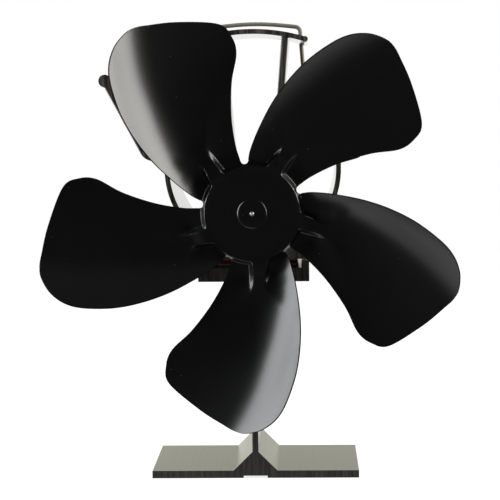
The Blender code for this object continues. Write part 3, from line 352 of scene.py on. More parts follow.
def sawn_end(name, light):
    """Black sawn end of an extrusion with upright saw marks; their lighter brownish streaks are a
    painted sheen where the marks catch light, and how light they are paints light and shade.
    """
    material = plain_finish(name, 0.5, 0.0, 0.3)
    marks = pattern(material, STREAKS, Stretch=SAW_PITCH)
    few = reckoned(material.node_tree, "POWER", marks["Tone"], 2.0)
    colour_between(material, few, (0.004, 0.0037, 0.0033), light)
    roughness_between(material, marks["Tone"], 0.45, 0.6)
    relief(material, marks["Height"], 0.00008)
    return material


def die_skin(name, roughness, specular, tint):
    """Black anodised skin with faint die lines along the profile."""
    material = plain_finish(name, roughness, 1.0, specular, tint)
    lines = pattern(material, STREAKS, Stretch=DIE_LINES)
    colour_between(material, lines["Tone"], (0.030, 0.030, 0.026), (0.038, 0.038, 0.033))
    roughness_between(material, lines["Tone"], roughness - 0.01, roughness + 0.02)
    relief(material, lines["Height"], 0.0000012)
    return material


# The base's sawn ends get darker streaks than the sink's: painted shade, for the hot plate behind the
# rotor lies in its shade.
SAWN_BASE_PAINTED_SHADE = sawn_end("sawn_base_painted_shade", (0.045, 0.042, 0.037))
SKIN_BLACK = die_skin("skin_black", 0.2, 0.5, (0.93, 0.93, 0.81))


def mesh_of(shape, name):
    """Turn a bmesh into a mesh."""
    mesh = bpy.data.meshes.new(name)
    shape.to_mesh(mesh)
    shape.free()
    return mesh


def settled(made):
    """The mesh of an object with its modifiers, or of a curve, as a bmesh. The object is dropped."""
    graph = bpy.context.evaluated_depsgraph_get()
    graph.update()
    result = bmesh.new()
    result.from_mesh(made.evaluated_get(graph).to_mesh())
    bpy.data.objects.remove(made, do_unlink=True)
    bmesh.ops.remove_doubles(result, verts=result.verts[:], dist=WELD)
    return result


def joined(first, others, operation):
    """Join solids to the first one, or cut them from it, and give the result as a bmesh."""
    target = placed("target", mesh_of(first, "target"))
    helpers = []
    for number, other in enumerate(others):
        helper = placed(f"helper_{number}", mesh_of(other, "helper"))
        helpers.append(helper)
        step = target.modifiers.new(helper.name, "BOOLEAN")
        step.operation = operation
        step.solver = "EXACT"
        step.object = helper
    result = settled(target)
    for helper in helpers:
        bpy.data.objects.remove(helper, do_unlink=True)
    return result


def fitted(shape, name, slot, stands_for, *finishes, body="stand", end_finish=False):
    """Make a finished piece of a bmesh, ride it on its body and name what it replaces."""
    if end_finish:
        for face in shape.faces:
            face.material_index = 1 if abs(face.normal.y) > 0.9 else 0
    mesh = mesh_of(shape, name)
    mesh.shade_smooth()
    mesh.set_sharp_from_angle(angle=math.radians(SMOOTH_ANGLE))
    for finish in finishes:
        mesh.materials.append(finish)
    made = placed(name, mesh)
    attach(made, body)
    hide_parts(stands_for)
    return made


def flat_face(points):
    """One face in the X-Z plane, from corners given as (x, z)."""
    shape = bmesh.new()
    shape.faces.new([shape.verts.new((x, 0, z)) for x, z in points])
    return shape


def thickened(shape, depth):
    """Give flat faces their depth along a vector."""
    grown = bmesh.ops.extrude_face_region(shape, geom=shape.faces[:])
    far_side = [item for item in grown["geom"] if isinstance(item, bmesh.types.BMVert)]
    bmesh.ops.translate(shape, vec=depth, verts=far_side)
    bmesh.ops.recalc_face_normals(shape, faces=shape.faces[:])
    return shape


def shifted(shape, offset):
    bmesh.ops.translate(shape, vec=offset, verts=shape.verts[:])
    return shape


def pushed(shape, front, back):
    """Give faces in the X-Z plane their depth along Y."""
    return thickened(shifted(shape, (0, front, 0)), (0, back - front, 0))


def rounded_corners(shape, wanted, radius, segments):
    """Round the corners of a flat face where wanted(x, z) says so."""
    corners = [corner for corner in shape.verts if wanted(corner.co.x, corner.co.z)]
    bmesh.ops.bevel(
        shape, geom=corners, offset=radius, segments=segments, profile=0.5,
        affect="VERTICES", material=-1,
    )


def turned(profile, axis, steps=ROUND, closed=True):
    """Turn a profile of (radius, place along the axis) points on a lathe."""
    shape = bmesh.new()
    along = Vector(axis)
    outward = along.orthogonal().normalized()
    corners = [shape.verts.new(outward * radius + along * place) for radius, place in profile]
    edges = [shape.edges.new(pair) for pair in zip(corners, corners[1:])]
    if closed:
        edges.append(shape.edges.new((corners[-1], corners[0])))
    bmesh.ops.spin(
        shape, geom=corners + edges, cent=(0, 0, 0), axis=along,
        angle=math.tau, steps=steps, use_merge=True,
    )
    bmesh.ops.remove_doubles(shape, verts=shape.verts[:], dist=WELD)
    bmesh.ops.recalc_face_normals(shape, faces=shape.faces[:])
    return shape


def broken(shape, edges, width, segments):
    """Round off some edges."""
    bmesh.ops.bevel(
        shape, geom=edges, offset=width, segments=segments, profile=0.5,
        affect="EDGES", clamp_overlap=True, material=-1,
    )
    return shape


def softened(shape, width, segments=2, angle=40):
    """Break the sharp edges of a machined or moulded piece."""
    limit = math.radians(angle)
    sharp = [edge for edge in shape.edges if edge.is_manifold and edge.calc_face_angle(0) > limit]
    return broken(shape, sharp, width, segments)


def turned_up(points):
    """Turn a small upright solid whose profile starts and ends on its axis."""
    return turned(points, (0, 0, 1), ROUND // 2, False)


def rod(radius, low, high, axis=(0, 0, 1), steps=ROUND // 2):
    """A plain round rod along an axis, mostly used to drill with."""
    return turned([(0, low), (radius, low), (radius, high), (0, high)], axis, steps, False)


half_stem = STEM_THICKNESS / 2
half_plate, lip_top = PLATE_WIDTH / 2, RECESS_FLOOR + LIP_HEIGHT
web_top = FOOT_THICKNESS + WEB_WIDTH / 2 - half_stem
base = flat_face([
    (0, GROOVE_HEIGHT), (GROOVE_WIDTH / 2, GROOVE_HEIGHT), (GROOVE_WIDTH / 2, 0),
    (FOOT_WIDTH / 2, 0), (FOOT_WIDTH / 2, FOOT_THICKNESS), (WEB_WIDTH / 2, FOOT_THICKNESS),
    (half_stem, web_top), (half_stem, PLATE_BOTTOM), (half_plate, PLATE_BOTTOM),
    (half_plate, lip_top), (half_plate - LIP_WIDTH, lip_top),
    (half_plate - LIP_WIDTH, RECESS_FLOOR), (0, RECESS_FLOOR),
])
rounded_corners(
    base, lambda x, z: abs(x - half_stem) < WELD and abs(z - PLATE_BOTTOM) < WELD, STEM_FILLET, 10,
)
rounded_corners(
    base,
    lambda x, z: x > half_stem + STEM_FILLET + WELD and abs(x - WEB_WIDTH / 2) > WELD,
    PROFILE_ROUNDING, 3,
)
bmesh.ops.mirror(base, geom=base.verts[:] + base.edges[:] + base.faces[:], axis="X", merge_dist=WELD)
pushed(base, EXTRUSION_FRONT, EXTRUSION_BACK)
screw_reach = EXTRUSION_DEPTH / 2 - SCREW_FROM_END
screw_places = [
    (x, depth_shift + y, 0) for y in (-screw_reach, screw_reach) for x in (-SCREW_OUT, SCREW_OUT)
]
clear_hole = SCREW_RADIUS + SLEEVE_WALL + 2 * THREAD_GAP
rivet_hole = RIVET_RADIUS + THREAD_GAP
drills = [
    shifted(rod(clear_hole, PLATE_BOTTOM - SPARE, RECESS_FLOOR + SPARE), place)
    for place in screw_places
]
rivet_place = (0, depth_shift + RIVET_BACK, 0)
drills.append(shifted(rod(rivet_hole, -SPARE, GROOVE_HEIGHT + RIVET_LENGTH), rivet_place))
fitted(
    joined(base, drills, "DIFFERENCE"), "foot_and_hot_plate", "extrusion_black",
    "base_extrusion", SKIN_BLACK, SAWN_BASE_PAINTED_SHADE, end_finish=True,
)


# Bimetal strip and its rivet
# A thin strip of two bonded metals lies in the groove under the foot. On too hot a stove it bends
# and lifts the fan's back. One countersunk rivet holds it, so it is only pinched at one end.

STRIP_LOW, STRIP_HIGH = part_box("bimetal_strip")
STRIP_CORNER = 0.0012
RIVET_HEAD_RADIUS = 0.0022
FINE_BREAK = 0.0001


def brushed(name, stretch, dark, light, low, high, metallic=1.0, depth=0.000004):
    """Metal with fine parallel marks from rolling, drawing or turning."""
    material = plain_finish(name, low, metallic)
    marks = pattern(material, STREAKS, Stretch=stretch)
    colour_between(material, marks["Tone"], dark, light)
    roughness_between(material, marks["Tone"], low, high)
    relief(material, marks["Height"], depth)
    return material


def add_box(shape, low, high):
    """Put a plain block between two corners into a shape."""
    low, high = Vector(low), Vector(high)
    made = bmesh.ops.create_cube(shape, size=1)["verts"]
    bmesh.ops.scale(shape, vec=high - low, verts=made)
    bmesh.ops.translate(shape, vec=(low + high) / 2, verts=made)
    return shape


def box_between(low, high):
    return add_box(bmesh.new(), low, high)


def edges_along(shape, axis):
    """The straight edges of a shape that run along one axis."""
    return [
        edge for edge in shape.edges
        if abs((edge.verts[0].co - edge.verts[1].co).normalized()[axis]) > 0.99
    ]


BIMETAL = brushed(
    "rolled_bimetal", (1400.0, 30.0, 1400.0), (0.30, 0.25, 0.17), (0.48, 0.42, 0.30), 0.3, 0.42,
)
ZINC_STEEL = brushed(
    "zinc_steel", (700.0, 700.0, 900.0), (0.42, 0.42, 0.41), (0.58, 0.58, 0.56), 0.26, 0.38,
)
strip = box_between(STRIP_LOW, STRIP_HIGH)
broken(strip, edges_along(strip, 2), STRIP_CORNER, 5)
head_hole = RIVET_HEAD_RADIUS + THREAD_GAP
strip_hole = turned_up(
    [(0, STRIP_LOW.z - SPARE), (head_hole, STRIP_LOW.z - SPARE), (head_hole, STRIP_LOW.z),
     (rivet_hole, STRIP_HIGH.z), (rivet_hole, STRIP_HIGH.z + SPARE), (0, STRIP_HIGH.z + SPARE)],
)
fitted(
    joined(strip, [shifted(strip_hole, rivet_place)], "DIFFERENCE"), "bimetal_strip_rolled",
    "bimetal", "bimetal_strip", BIMETAL,
)
rivet_low, rivet_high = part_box("bimetal_rivet")
rivet = turned_up(
    [(0, rivet_low.z), (RIVET_HEAD_RADIUS, rivet_low.z), (RIVET_RADIUS, STRIP_HIGH.z),
     (RIVET_RADIUS, rivet_high.z), (0, rivet_high.z)],
)
shifted(softened(rivet, FINE_BREAK), rivet_place)
fitted(rivet, "strip_rivet", "screw_steel", "bimetal_rivet", ZINC_STEEL)


# Thermoelectric module
# Two white ceramic squares hold rows of small semiconductor pellets between them, joined in one
# chain by copper tabs. Red silicone seals the gap round the edge, and a dark sheet lies on each face.

MODULE_HALF = 0.020
SEAL_INSET = 0.0003
SEAL_WIDTH = 0.0012
PELLETS_ACROSS = 16
PELLET_SIDE = 0.0013
TAB_THICKNESS = 0.00025
CERAMIC_EDGE = 0.00012
SEAL_ROUNDING = 0.0003


def stone(name, roughness, dark, light, size, depth, specular=0.5):
    """Fired or moulded stuff with an even fine grain."""
    material = plain_finish(name, roughness, 0.0, specular)
    grains = pattern(material, GRAIN, Size=size)
    colour_between(material, grains["Tone"], dark, light)
    roughness_between(material, grains["Broad"], roughness - 0.08, roughness + 0.08)
    relief(material, grains["Height"], depth)
    return material


ALUMINA = stone("alumina", 0.5, (0.72, 0.71, 0.67), (0.80, 0.79, 0.76), 0.0003, 0.00001)
GRAPHITE = stone("graphite_sheet", 0.5, (0.10, 0.10, 0.105), (0.19, 0.19, 0.20), 0.0004, 0.00001)
RED_SILICONE = stone(
    "red_silicone", 0.38, (0.36, 0.040, 0.036), (0.46, 0.055, 0.050), 0.0006, 0.00002,
)
PELLET_ALLOY = brushed(
    "pellet_alloy", (900.0, 900.0, 900.0), (0.22, 0.22, 0.24), (0.38, 0.38, 0.40), 0.35, 0.5,
)
for cad_name, name, finish in (
    ("module_hot_ceramic", "hot_ceramic", ALUMINA),
    ("module_cold_ceramic", "cold_ceramic", ALUMINA),
    ("lower_thermal_sheet", "lower_sheet", GRAPHITE),
    ("upper_thermal_sheet", "upper_sheet", GRAPHITE),
):
    plate_low, plate_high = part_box(cad_name)
    thickness = plate_high.z - plate_low.z
    plate = softened(box_between(plate_low, plate_high), min(CERAMIC_EDGE, thickness / 4))
    slot = "ceramic" if finish == ALUMINA else "thermal_sheet"
    fitted(plate, name, slot, cad_name, finish)

seal_low, seal_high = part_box("module_seal")
seal = bmesh.new()
bmesh.ops.create_grid(seal, x_segments=1, y_segments=1, size=MODULE_HALF - SEAL_INSET)
inside = seal.faces[:]
bmesh.ops.inset_region(
    seal, faces=inside, thickness=SEAL_WIDTH, use_even_offset=True, use_boundary=True,
)
bmesh.ops.delete(seal, geom=inside, context="FACES")
thickened(seal, (0, 0, seal_high.z - seal_low.z))
softened(seal, SEAL_ROUNDING, 3)
shifted(seal, (0, depth_shift, seal_low.z))
fitted(seal, "silicone_seal", "seal_red", "module_seal", RED_SILICONE)

pellet_low, pellet_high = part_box("module_pellets")
pellets = bmesh.new()
reach = MODULE_HALF - SEAL_INSET - SEAL_WIDTH - PELLET_SIDE
pitch = 2 * reach / (PELLETS_ACROSS - 1)
half = PELLET_SIDE / 2
for row in range(PELLETS_ACROSS):
    y = depth_shift - reach + row * pitch
    for column in range(PELLETS_ACROSS):
        x = -reach + column * pitch
        add_box(
            pellets, (x - half, y - half, pellet_low.z + TAB_THICKNESS),
            (x + half, y + half, pellet_high.z - TAB_THICKNESS),
        )
        last = column == PELLETS_ACROSS - 1
        upper = column % 2 == 1
        far_x, far_y = (x, y + pitch) if last else (x + pitch, y)
        if last and row == PELLETS_ACROSS - 1:
            continue
        tab_low = pellet_high.z - TAB_THICKNESS if upper else pellet_low.z
        add_box(
            pellets, (x - half, y - half, tab_low),
            (far_x + half, far_y + half, tab_low + TAB_THICKNESS),
        )
fitted(pellets, "pellet_chain", "pellet", "module_pellets", PELLET_ALLOY)


# Heat sink extrusion
# The second profile: a thick base on the module, a bowl with ball-ended wings, the motor's ring, two
# ribs and the arch. Fine teeth on the wings and ribs give it more skin to shed heat from.

SINK_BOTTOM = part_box("heat_sink_extrusion")[0].z
SINK_BASE_THICKNESS = 0.008
SINK_WALL = 0.00223
BOWL_RADIUS = 0.0402
BOWL_Z = SINK_BOTTOM + 0.0413
ARM_RISE = 0.0036
WING_THICKNESS = 0.003
WING_TIP = (0.0669, BOWL_Z + 0.0405)
WING_CORNER = (0.0486, BOWL_Z + 0.0062)
WING_BALL_RADIUS = 0.0029
WING_ELBOW_RADIUS = 0.0046
RIB_THICKNESS = 0.003
RIB_TOP_OUT = 0.0153
RIB_LEAN = 5.0
ARCH_RADIUS = 0.0827
ARCH_END_OUT = 0.0242
ARCH_BULB_RADIUS = 0.00135
TOOTH_PITCH = 0.001
TOOTH_DEPTH = 0.0007
MOTOR_Z = SINK_BOTTOM + 0.0219
MOTOR_RADIUS = 0.0122
MOTOR_FIT = 0.0001
RING_WALL = 0.0023
RING_BORE = MOTOR_RADIUS + MOTOR_FIT
WIRE_RADIUS = 0.001
PIN_FIT = 0.0001
SCREW_BITE = 0.0055
TIP_ROOM = 0.0003
MOTOR_FRONT = EXTRUSION_FRONT - 0.002
GRUB_Y = MOTOR_FRONT + 0.014
PIVOT = Vector((0, depth_shift + 0.026, BOWL_Z + 0.0017))
BOWL_WALL_OUT = BOWL_RADIUS - SINK_WALL / 2


def full_depth(shape):
    return pushed(shape, EXTRUSION_FRONT, EXTRUSION_BACK)


def wall(start, end, width, pitch=0, depth=0):
    """A straight wall of the profile between two (x, z) points, with saw teeth if it has a pitch."""
    start, end = Vector(start), Vector(end)
    run = end - start
    side = Vector((-run.y, run.x)).normalized()
    half = (width - depth) / 2
    aside = side * half
    shape = flat_face([start - aside, end - aside, end + aside, start + aside])
    if pitch:
        count = round(run.length / pitch)
        long_edges = [edge for edge in shape.edges if abs(edge.calc_length() - run.length) < WELD]
        bmesh.ops.subdivide_edges(shape, edges=long_edges, cuts=2 * count - 1)
        for corner in shape.verts:
            offset = Vector((corner.co.x, corner.co.z)) - start
            step = round(offset.dot(run.normalized()) / run.length * 2 * count)
            if step % 2:
                outward = side * (depth if offset.dot(side) > 0 else -depth)
                corner.co += Vector((outward.x, 0, outward.y))
    return full_depth(shape)


def rolled(shape, turn, axis):
    """Turn a shape round an axis through the origin."""
    around = Matrix.Rotation(turn, 3, axis)
    bmesh.ops.rotate(shape, cent=(0, 0, 0), matrix=around, verts=shape.verts[:])
    return shape


def disc(radius, steps=ROUND):
    shape = bmesh.new()
    bmesh.ops.create_circle(shape, cap_ends=True, segments=steps, radius=radius)
    return rolled(shape, math.radians(90), "X")


def bead(centre, radius, steps=ROUND):
    """A round end or corner of the profile."""
    return full_depth(shifted(disc(radius, steps), (centre[0], 0, centre[1])))


def arc_face(centre, radius, width, first, last, steps):
    """A flat band that bends round a centre, between two angles from +X."""
    shape = bmesh.new()
    turn = math.radians(first)
    ends = [
        shape.verts.new((centre[0] + reach * math.cos(turn), 0, centre[1] + reach * math.sin(turn)))
        for reach in (radius - width / 2, radius + width / 2)
    ]
    bmesh.ops.spin(
        shape, geom=ends + [shape.edges.new(ends)], cent=(centre[0], 0, centre[1]), axis=(0, -1, 0),
        angle=math.radians(last - first), steps=steps,
    )
    return shape


def bent_wall(*arc):
    return full_depth(arc_face(*arc))


# The sink's sawn ends get lighter streaks than the base's: painted light, for the arch at the top is
# lit from above.
SAWN_SINK_PAINTED_LIGHT = sawn_end("sawn_sink_painted_light", (0.088, 0.084, 0.076))
SINK_BLACK = die_skin("sink_black", 0.14, 0.5, (0.95, 0.95, 0.86))
coat(SINK_BLACK, Coat_Weight=0.6, Coat_Roughness=0.08)
arch_middle = ARCH_RADIUS - SINK_WALL / 2
arch_turn = math.degrees(math.asin(ARCH_END_OUT / arch_middle))
rib_top_z = MOTOR_Z + math.sqrt(arch_middle ** 2 - RIB_TOP_OUT ** 2)
ring_middle = RING_BORE + RING_WALL / 2
rib_foot_x = RIB_TOP_OUT - (rib_top_z - MOTOR_Z) * math.tan(math.radians(RIB_LEAN))
rib_foot_x += ring_middle * math.sin(math.radians(RIB_LEAN))
rib_foot = (rib_foot_x, MOTOR_Z + math.sqrt(ring_middle ** 2 - rib_foot_x ** 2))
corner = Vector(WING_CORNER)
inward = Vector((BOWL_WALL_OUT, BOWL_Z + ARM_RISE)) - corner
upward = Vector(WING_TIP) - corner
half_elbow = inward.angle(upward) / 2
along_arm, along_wing = inward.normalized(), upward.normalized()
elbow_run = WING_ELBOW_RADIUS / math.tan(half_elbow)
arm_line = corner + along_arm * elbow_run
wing_line = corner + along_wing * elbow_run
middle_line = (along_arm + along_wing).normalized()
elbow_middle = corner + middle_line * WING_ELBOW_RADIUS / math.sin(half_elbow)
arm_turn = math.degrees(math.atan2(-inward.y, -inward.x))
wing_turn = math.degrees(math.atan2(upward.y, upward.x))
members = [
    bent_wall((0, BOWL_Z), BOWL_WALL_OUT, SINK_WALL, 180, 360, 72),
    bead((0, MOTOR_Z), RING_BORE + RING_WALL, 96),
    bent_wall((0, MOTOR_Z), arch_middle, SINK_WALL, 90 - arch_turn, 90 + arch_turn, 24),
]
for side in (1, -1):
    arm_foot = (side * BOWL_WALL_OUT, BOWL_Z - SINK_WALL)
    arm_top = (side * BOWL_WALL_OUT, BOWL_Z + ARM_RISE)
    wing_tip = (side * WING_TIP[0], WING_TIP[1])
    arm_end, wing_start, elbow = ((side * x, z) for x, z in (arm_line, wing_line, elbow_middle))
    first, last = (arm_turn - 90, wing_turn - 90) if side > 0 else (270 - wing_turn, 270 - arm_turn)
    arch_end = (side * ARCH_END_OUT, MOTOR_Z + math.sqrt(arch_middle ** 2 - ARCH_END_OUT ** 2))
    members += [
        wall(arm_foot, arm_top, SINK_WALL),
        bead(arm_top, SINK_WALL / 2),
        wall(arm_top, arm_end, WING_THICKNESS),
        bent_wall(elbow, WING_ELBOW_RADIUS, WING_THICKNESS, first, last, 16),
        wall(wing_start, wing_tip, WING_THICKNESS, TOOTH_PITCH, TOOTH_DEPTH),
        bead(wing_tip, WING_BALL_RADIUS),
        wall((side * rib_foot[0], rib_foot[1]), (side * RIB_TOP_OUT, rib_top_z), RIB_THICKNESS,
             TOOTH_PITCH, TOOTH_DEPTH),
        bead(arch_end, ARCH_BULB_RADIUS),
    ]
base_top = SINK_BOTTOM + SINK_BASE_THICKNESS
sink_base = flat_face([
    (-half_plate, SINK_BOTTOM), (half_plate, SINK_BOTTOM),
    (half_plate, base_top), (-half_plate, base_top),
])
rounded_corners(sink_base, lambda x, z: True, PROFILE_ROUNDING, 3)
sink = joined(full_depth(sink_base), members, "UNION")
screw_hole = SCREW_RADIUS + THREAD_GAP
drills = [
    shifted(rod(screw_hole, SINK_BOTTOM - SPARE, SINK_BOTTOM + SCREW_BITE + TIP_ROOM), place)
    for place in screw_places
]
motor_bore = rod(RING_BORE, EXTRUSION_FRONT - SPARE, EXTRUSION_BACK + SPARE, (0, 1, 0), 96)
drills.append(shifted(motor_bore, (0, 0, MOTOR_Z)))
ring_top = MOTOR_Z + RING_BORE
grub_hole = rod(screw_hole, ring_top - 2 * SPARE, ring_top + RING_WALL + SPARE)
drills.append(shifted(grub_hole, (0, GRUB_Y, 0)))
for side in (1, -1):
    pin_hole = rod(WIRE_RADIUS + PIN_FIT, -SINK_WALL, SINK_WALL, (1, 0, 0))
    drills.append(shifted(pin_hole, (side * BOWL_WALL_OUT, PIVOT.y, PIVOT.z)))
fitted(
    joined(sink, drills, "DIFFERENCE"), "finned_heat_sink", "extrusion_black",
    "heat_sink_extrusion", SINK_BLACK, SAWN_SINK_PAINTED_LIGHT, end_finish=True,
)


# Clamp screws and insulating washers
# Four zinc-plated M3 screws, two in front of the module and two behind it, pull the heat sink down.
# Each passes through a moulded washer with a sleeve, so that it carries little heat past the module.

SCREW_HEAD_RADIUS = 0.00275
HEAD_PROFILE = ((0.0005, 0), (0.0001, 0.0004), (0, 0.001), (0, 0.002))
SCREW_PITCH = 0.0005
THREAD_DEPTH = 0.00028
PLAIN_SHANK = 0.001
PLAIN_TIP = 0.0003
SOCKET_RADIUS = 0.00087
SOCKET_DEPTH = 0.0014
WASHER_RADIUS = 0.0032
WASHER_FLANGE = 0.001


def threaded(bottom, top):
    """Profile points of a thread from its bottom to its top."""
    points = []
    for turn in range(int((top - bottom) / SCREW_PITCH)):
        for share, depth in ((0.12, 0), (0.5, THREAD_DEPTH), (0.88, 0)):
            points.append((SCREW_RADIUS - depth, bottom + (turn + share) * SCREW_PITCH))
    return points


def hexagon_socket(low, high):
    """A six-sided hole for a key."""
    return rod(SOCKET_RADIUS, low, high, steps=6)


MOULDED_FIBRE = stone(
    "moulded_fibre", 0.55, (0.68, 0.65, 0.55), (0.78, 0.75, 0.65), 0.0004, 0.00002,
)
thread_core = SCREW_RADIUS - THREAD_DEPTH
sleeve = SCREW_RADIUS + SLEEVE_WALL + THREAD_GAP
for number, place in enumerate(screw_places, 1):
    screw_low, screw_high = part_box(f"clamp_screw_{number}")
    head_top = screw_low.z + HEAD_PROFILE[-1][1]
    screw = turned_up(
        [(0, screw_low.z)]
        + [(SCREW_HEAD_RADIUS - inward, screw_low.z + up) for inward, up in HEAD_PROFILE]
        + [(SCREW_RADIUS, head_top), *threaded(head_top + PLAIN_SHANK, screw_high.z - PLAIN_TIP),
           (thread_core, screw_high.z), (0, screw_high.z)],
    )
    socket = hexagon_socket(screw_low.z - SPARE, screw_low.z + SOCKET_DEPTH)
    fitted(
        shifted(joined(screw, [socket], "DIFFERENCE"), place), f"socket_screw_{number}",
        "screw_steel", f"clamp_screw_{number}", ZINC_STEEL,
    )
    washer_low, washer_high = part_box(f"insulating_washer_{number}")
    flange_top = washer_low.z + WASHER_FLANGE
    washer = turned(
        [(WASHER_RADIUS, washer_low.z), (WASHER_RADIUS, flange_top), (sleeve, flange_top),
         (sleeve, washer_high.z), (screw_hole, washer_high.z), (screw_hole, washer_low.z)],
        (0, 0, 1), ROUND // 2,
    )
    fitted(
        shifted(softened(washer, FINE_BREAK), place), f"sleeved_washer_{number}", "washer_fibre",
        f"insulating_washer_{number}", MOULDED_FIBRE,
    )


# Motor can and bearings
# A drawn, zinc-plated steel can slides into the ring of the heat sink. A sintered bronze bearing is
# pressed into the boss at its front, and another into the moulded cap that closes its back.

MOTOR_WALL = 0.0006
BOSS_RADIUS = 0.0031
PRESS_FIT = 0.00002
BEARING_RADIUS = 0.0022
BEARING_BORE = 0.0012
BEARING_BREAK = 0.00018
CAN_BREAK = 0.00015
can_low, can_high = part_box("motor_can")
MOTOR_BACK = can_high.y
DRAWN_STEEL = brushed(
    "drawn_steel", (900.0, 60.0, 900.0), (0.45, 0.45, 0.46), (0.62, 0.62, 0.63), 0.24, 0.36,
)
SINTERED_BRONZE = stone(
    "sintered_bronze", 0.36, (0.34, 0.21, 0.09), (0.50, 0.33, 0.16), 0.00015, 0.00001,
)
coat(SINTERED_BRONZE, Metallic=1.0)


def on_shaft(shape):
    """Lift a piece that was turned about Y up to the shaft's height."""
    return shifted(shape, (0, 0, MOTOR_Z))


def sleeve_of(outer, bore, front, back):
    """A plain sleeve about Y."""
    return turned([(outer, front), (outer, back), (bore, back), (bore, front)], (0, 1, 0))


seat = BEARING_RADIUS + PRESS_FIT
wall_out, wall_in = MOTOR_RADIUS, MOTOR_RADIUS - MOTOR_WALL
wall_back = MOTOR_FRONT + MOTOR_WALL
can = turned(
    [(wall_out, MOTOR_BACK), (wall_out, MOTOR_FRONT), (BOSS_RADIUS, MOTOR_FRONT),
     (BOSS_RADIUS, can_low.y), (seat, can_low.y), (seat, wall_back), (wall_in, wall_back),
     (wall_in, MOTOR_BACK)],
    (0, 1, 0), 96,
)
fitted(
    on_shaft(softened(can, CAN_BREAK)), "drawn_motor_can", "motor_steel",
    "motor_can", DRAWN_STEEL,
)
for cad_name, name in (("bearing_front", "front_bearing"), ("bearing_rear", "rear_bearing")):
    bearing_low, bearing_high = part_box(cad_name)
    bearing = sleeve_of(BEARING_RADIUS, BEARING_BORE, bearing_low.y, bearing_high.y)
    fitted(
        on_shaft(softened(bearing, BEARING_BREAK)), name, "bearing_bronze",
        cad_name, SINTERED_BRONZE,
    )


# Magnets, end cap, terminals and brushes
# Two curved ferrite magnets are glued into the can. The black moulded cap carries two stamped brass
# terminals, and each has a copper leaf that presses on the commutator.

MAGNET_ARC = 130.0
MAGNET_THICKNESS = 0.0025
MAGNET_BREAK = 0.0003
GLUE_GAP = 0.00015
CAP_FIT = 0.00005
CAP_BREAK = 0.0002
WIRE_BREAK = 0.00006
TERMINAL_OUT = 0.008
TERMINAL_SLOT = (0.0003, 0.00125)
TERMINAL_CORNER = 0.0006
EYE_RADIUS = 0.0005
EYE_IN = 0.0011
FERRITE = stone("ferrite", 0.55, (0.035, 0.035, 0.04), (0.065, 0.065, 0.07), 0.0005, 0.00002)
BLACK_MOULDING = stone(
    "black_moulding", 0.45, (0.022, 0.022, 0.026), (0.034, 0.034, 0.038), 0.0004, 0.00001,
)
STAMPED_BRASS = brushed(
    "stamped_brass", (200.0, 1500.0, 200.0), (0.52, 0.38, 0.15), (0.68, 0.52, 0.25), 0.24, 0.34,
)
COPPER = brushed(
    "copper", (1200.0, 1200.0, 1200.0), (0.44, 0.17, 0.06), (0.60, 0.30, 0.16), 0.26, 0.36,
)
magnet_low, magnet_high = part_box("motor_magnet_1")
magnet_middle = wall_in - GLUE_GAP - MAGNET_THICKNESS / 2
for number, middle in enumerate((0, 180), 1):
    first, last = middle - MAGNET_ARC / 2, middle + MAGNET_ARC / 2
    magnet = arc_face((0, 0), magnet_middle, MAGNET_THICKNESS, first, last, 40)
    pushed(magnet, magnet_low.y, magnet_high.y)
    fitted(
        on_shaft(softened(magnet, MAGNET_BREAK)), f"arc_magnet_{number}", "ferrite",
        f"motor_magnet_{number}", FERRITE,
    )
cap_low, cap_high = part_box("motor_end_cap")
cap_outer = wall_in - CAP_FIT
cap = turned(
    [(cap_outer, cap_low.y), (cap_outer, MOTOR_BACK), (BOSS_RADIUS, MOTOR_BACK),
     (BOSS_RADIUS, cap_high.y), (seat, cap_high.y), (seat, cap_low.y)],
    (0, 1, 0), 96,
)
softened(cap, CAP_BREAK)
slot_half, slot_rise = TERMINAL_SLOT
slots = [
    box_between(
        (side * TERMINAL_OUT - slot_half, cap_low.y - SPARE, -slot_rise),
        (side * TERMINAL_OUT + slot_half, MOTOR_BACK + SPARE, slot_rise),
    )
    for side in (1, -1)
]
fitted(
    on_shaft(joined(cap, slots, "DIFFERENCE")), "moulded_end_cap", "end_cap_plastic",
    "motor_end_cap", BLACK_MOULDING,
)
for number in (1, 2):
    blade_low, blade_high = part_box(f"motor_terminal_{number}")
    terminal = box_between(blade_low, blade_high)
    back_edges = [edge for edge in edges_along(terminal, 0) if edge.verts[0].co.y > MOTOR_BACK]
    broken(terminal, back_edges, TERMINAL_CORNER, 5)
    eye = rod(EYE_RADIUS, -SPARE, SPARE, (1, 0, 0))
    shifted(eye, ((blade_low.x + blade_high.x) / 2, blade_high.y - EYE_IN, MOTOR_Z))
    fitted(
        joined(terminal, [eye], "DIFFERENCE"), f"brass_terminal_{number}", "terminal_brass",
        f"motor_terminal_{number}", STAMPED_BRASS,
    )
    leaf_low, leaf_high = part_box(f"motor_brush_{number}")
    leaf = softened(box_between(leaf_low, leaf_high), WIRE_BREAK)
    fitted(leaf, f"brush_leaf_{number}", "copper", f"motor_brush_{number}", COPPER)


# Grub screw
# A short black screw with a hexagon socket stands in the top of the ring and holds the motor.

BLACK_STEEL = brushed(
    "black_oxide_steel", (800.0, 800.0, 900.0), (0.05, 0.05, 0.055), (0.10, 0.10, 0.105), 0.32, 0.46,
)
grub_low, grub_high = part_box("motor_grub_screw")
grub = turned_up(
    [(0, grub_low.z), (thread_core, grub_low.z),
     *threaded(grub_low.z + 0.0002, grub_high.z - 0.0001),
     (thread_core, grub_high.z), (0, grub_high.z)],
)
grub = joined(grub, [hexagon_socket(grub_high.z - SOCKET_DEPTH, grub_high.z + SPARE)], "DIFFERENCE")
fitted(
    shifted(grub, (0, GRUB_Y, 0)), "hexagon_grub_screw", "grub_steel",
    "motor_grub_screw", BLACK_STEEL,
)


# Shaft, armature, windings and commutator
# The ground steel shaft has a centre hole in its tip. It carries a three-pole core of stamped sheets,
# a coil of enamelled wire round each pole, and a copper commutator in three segments.

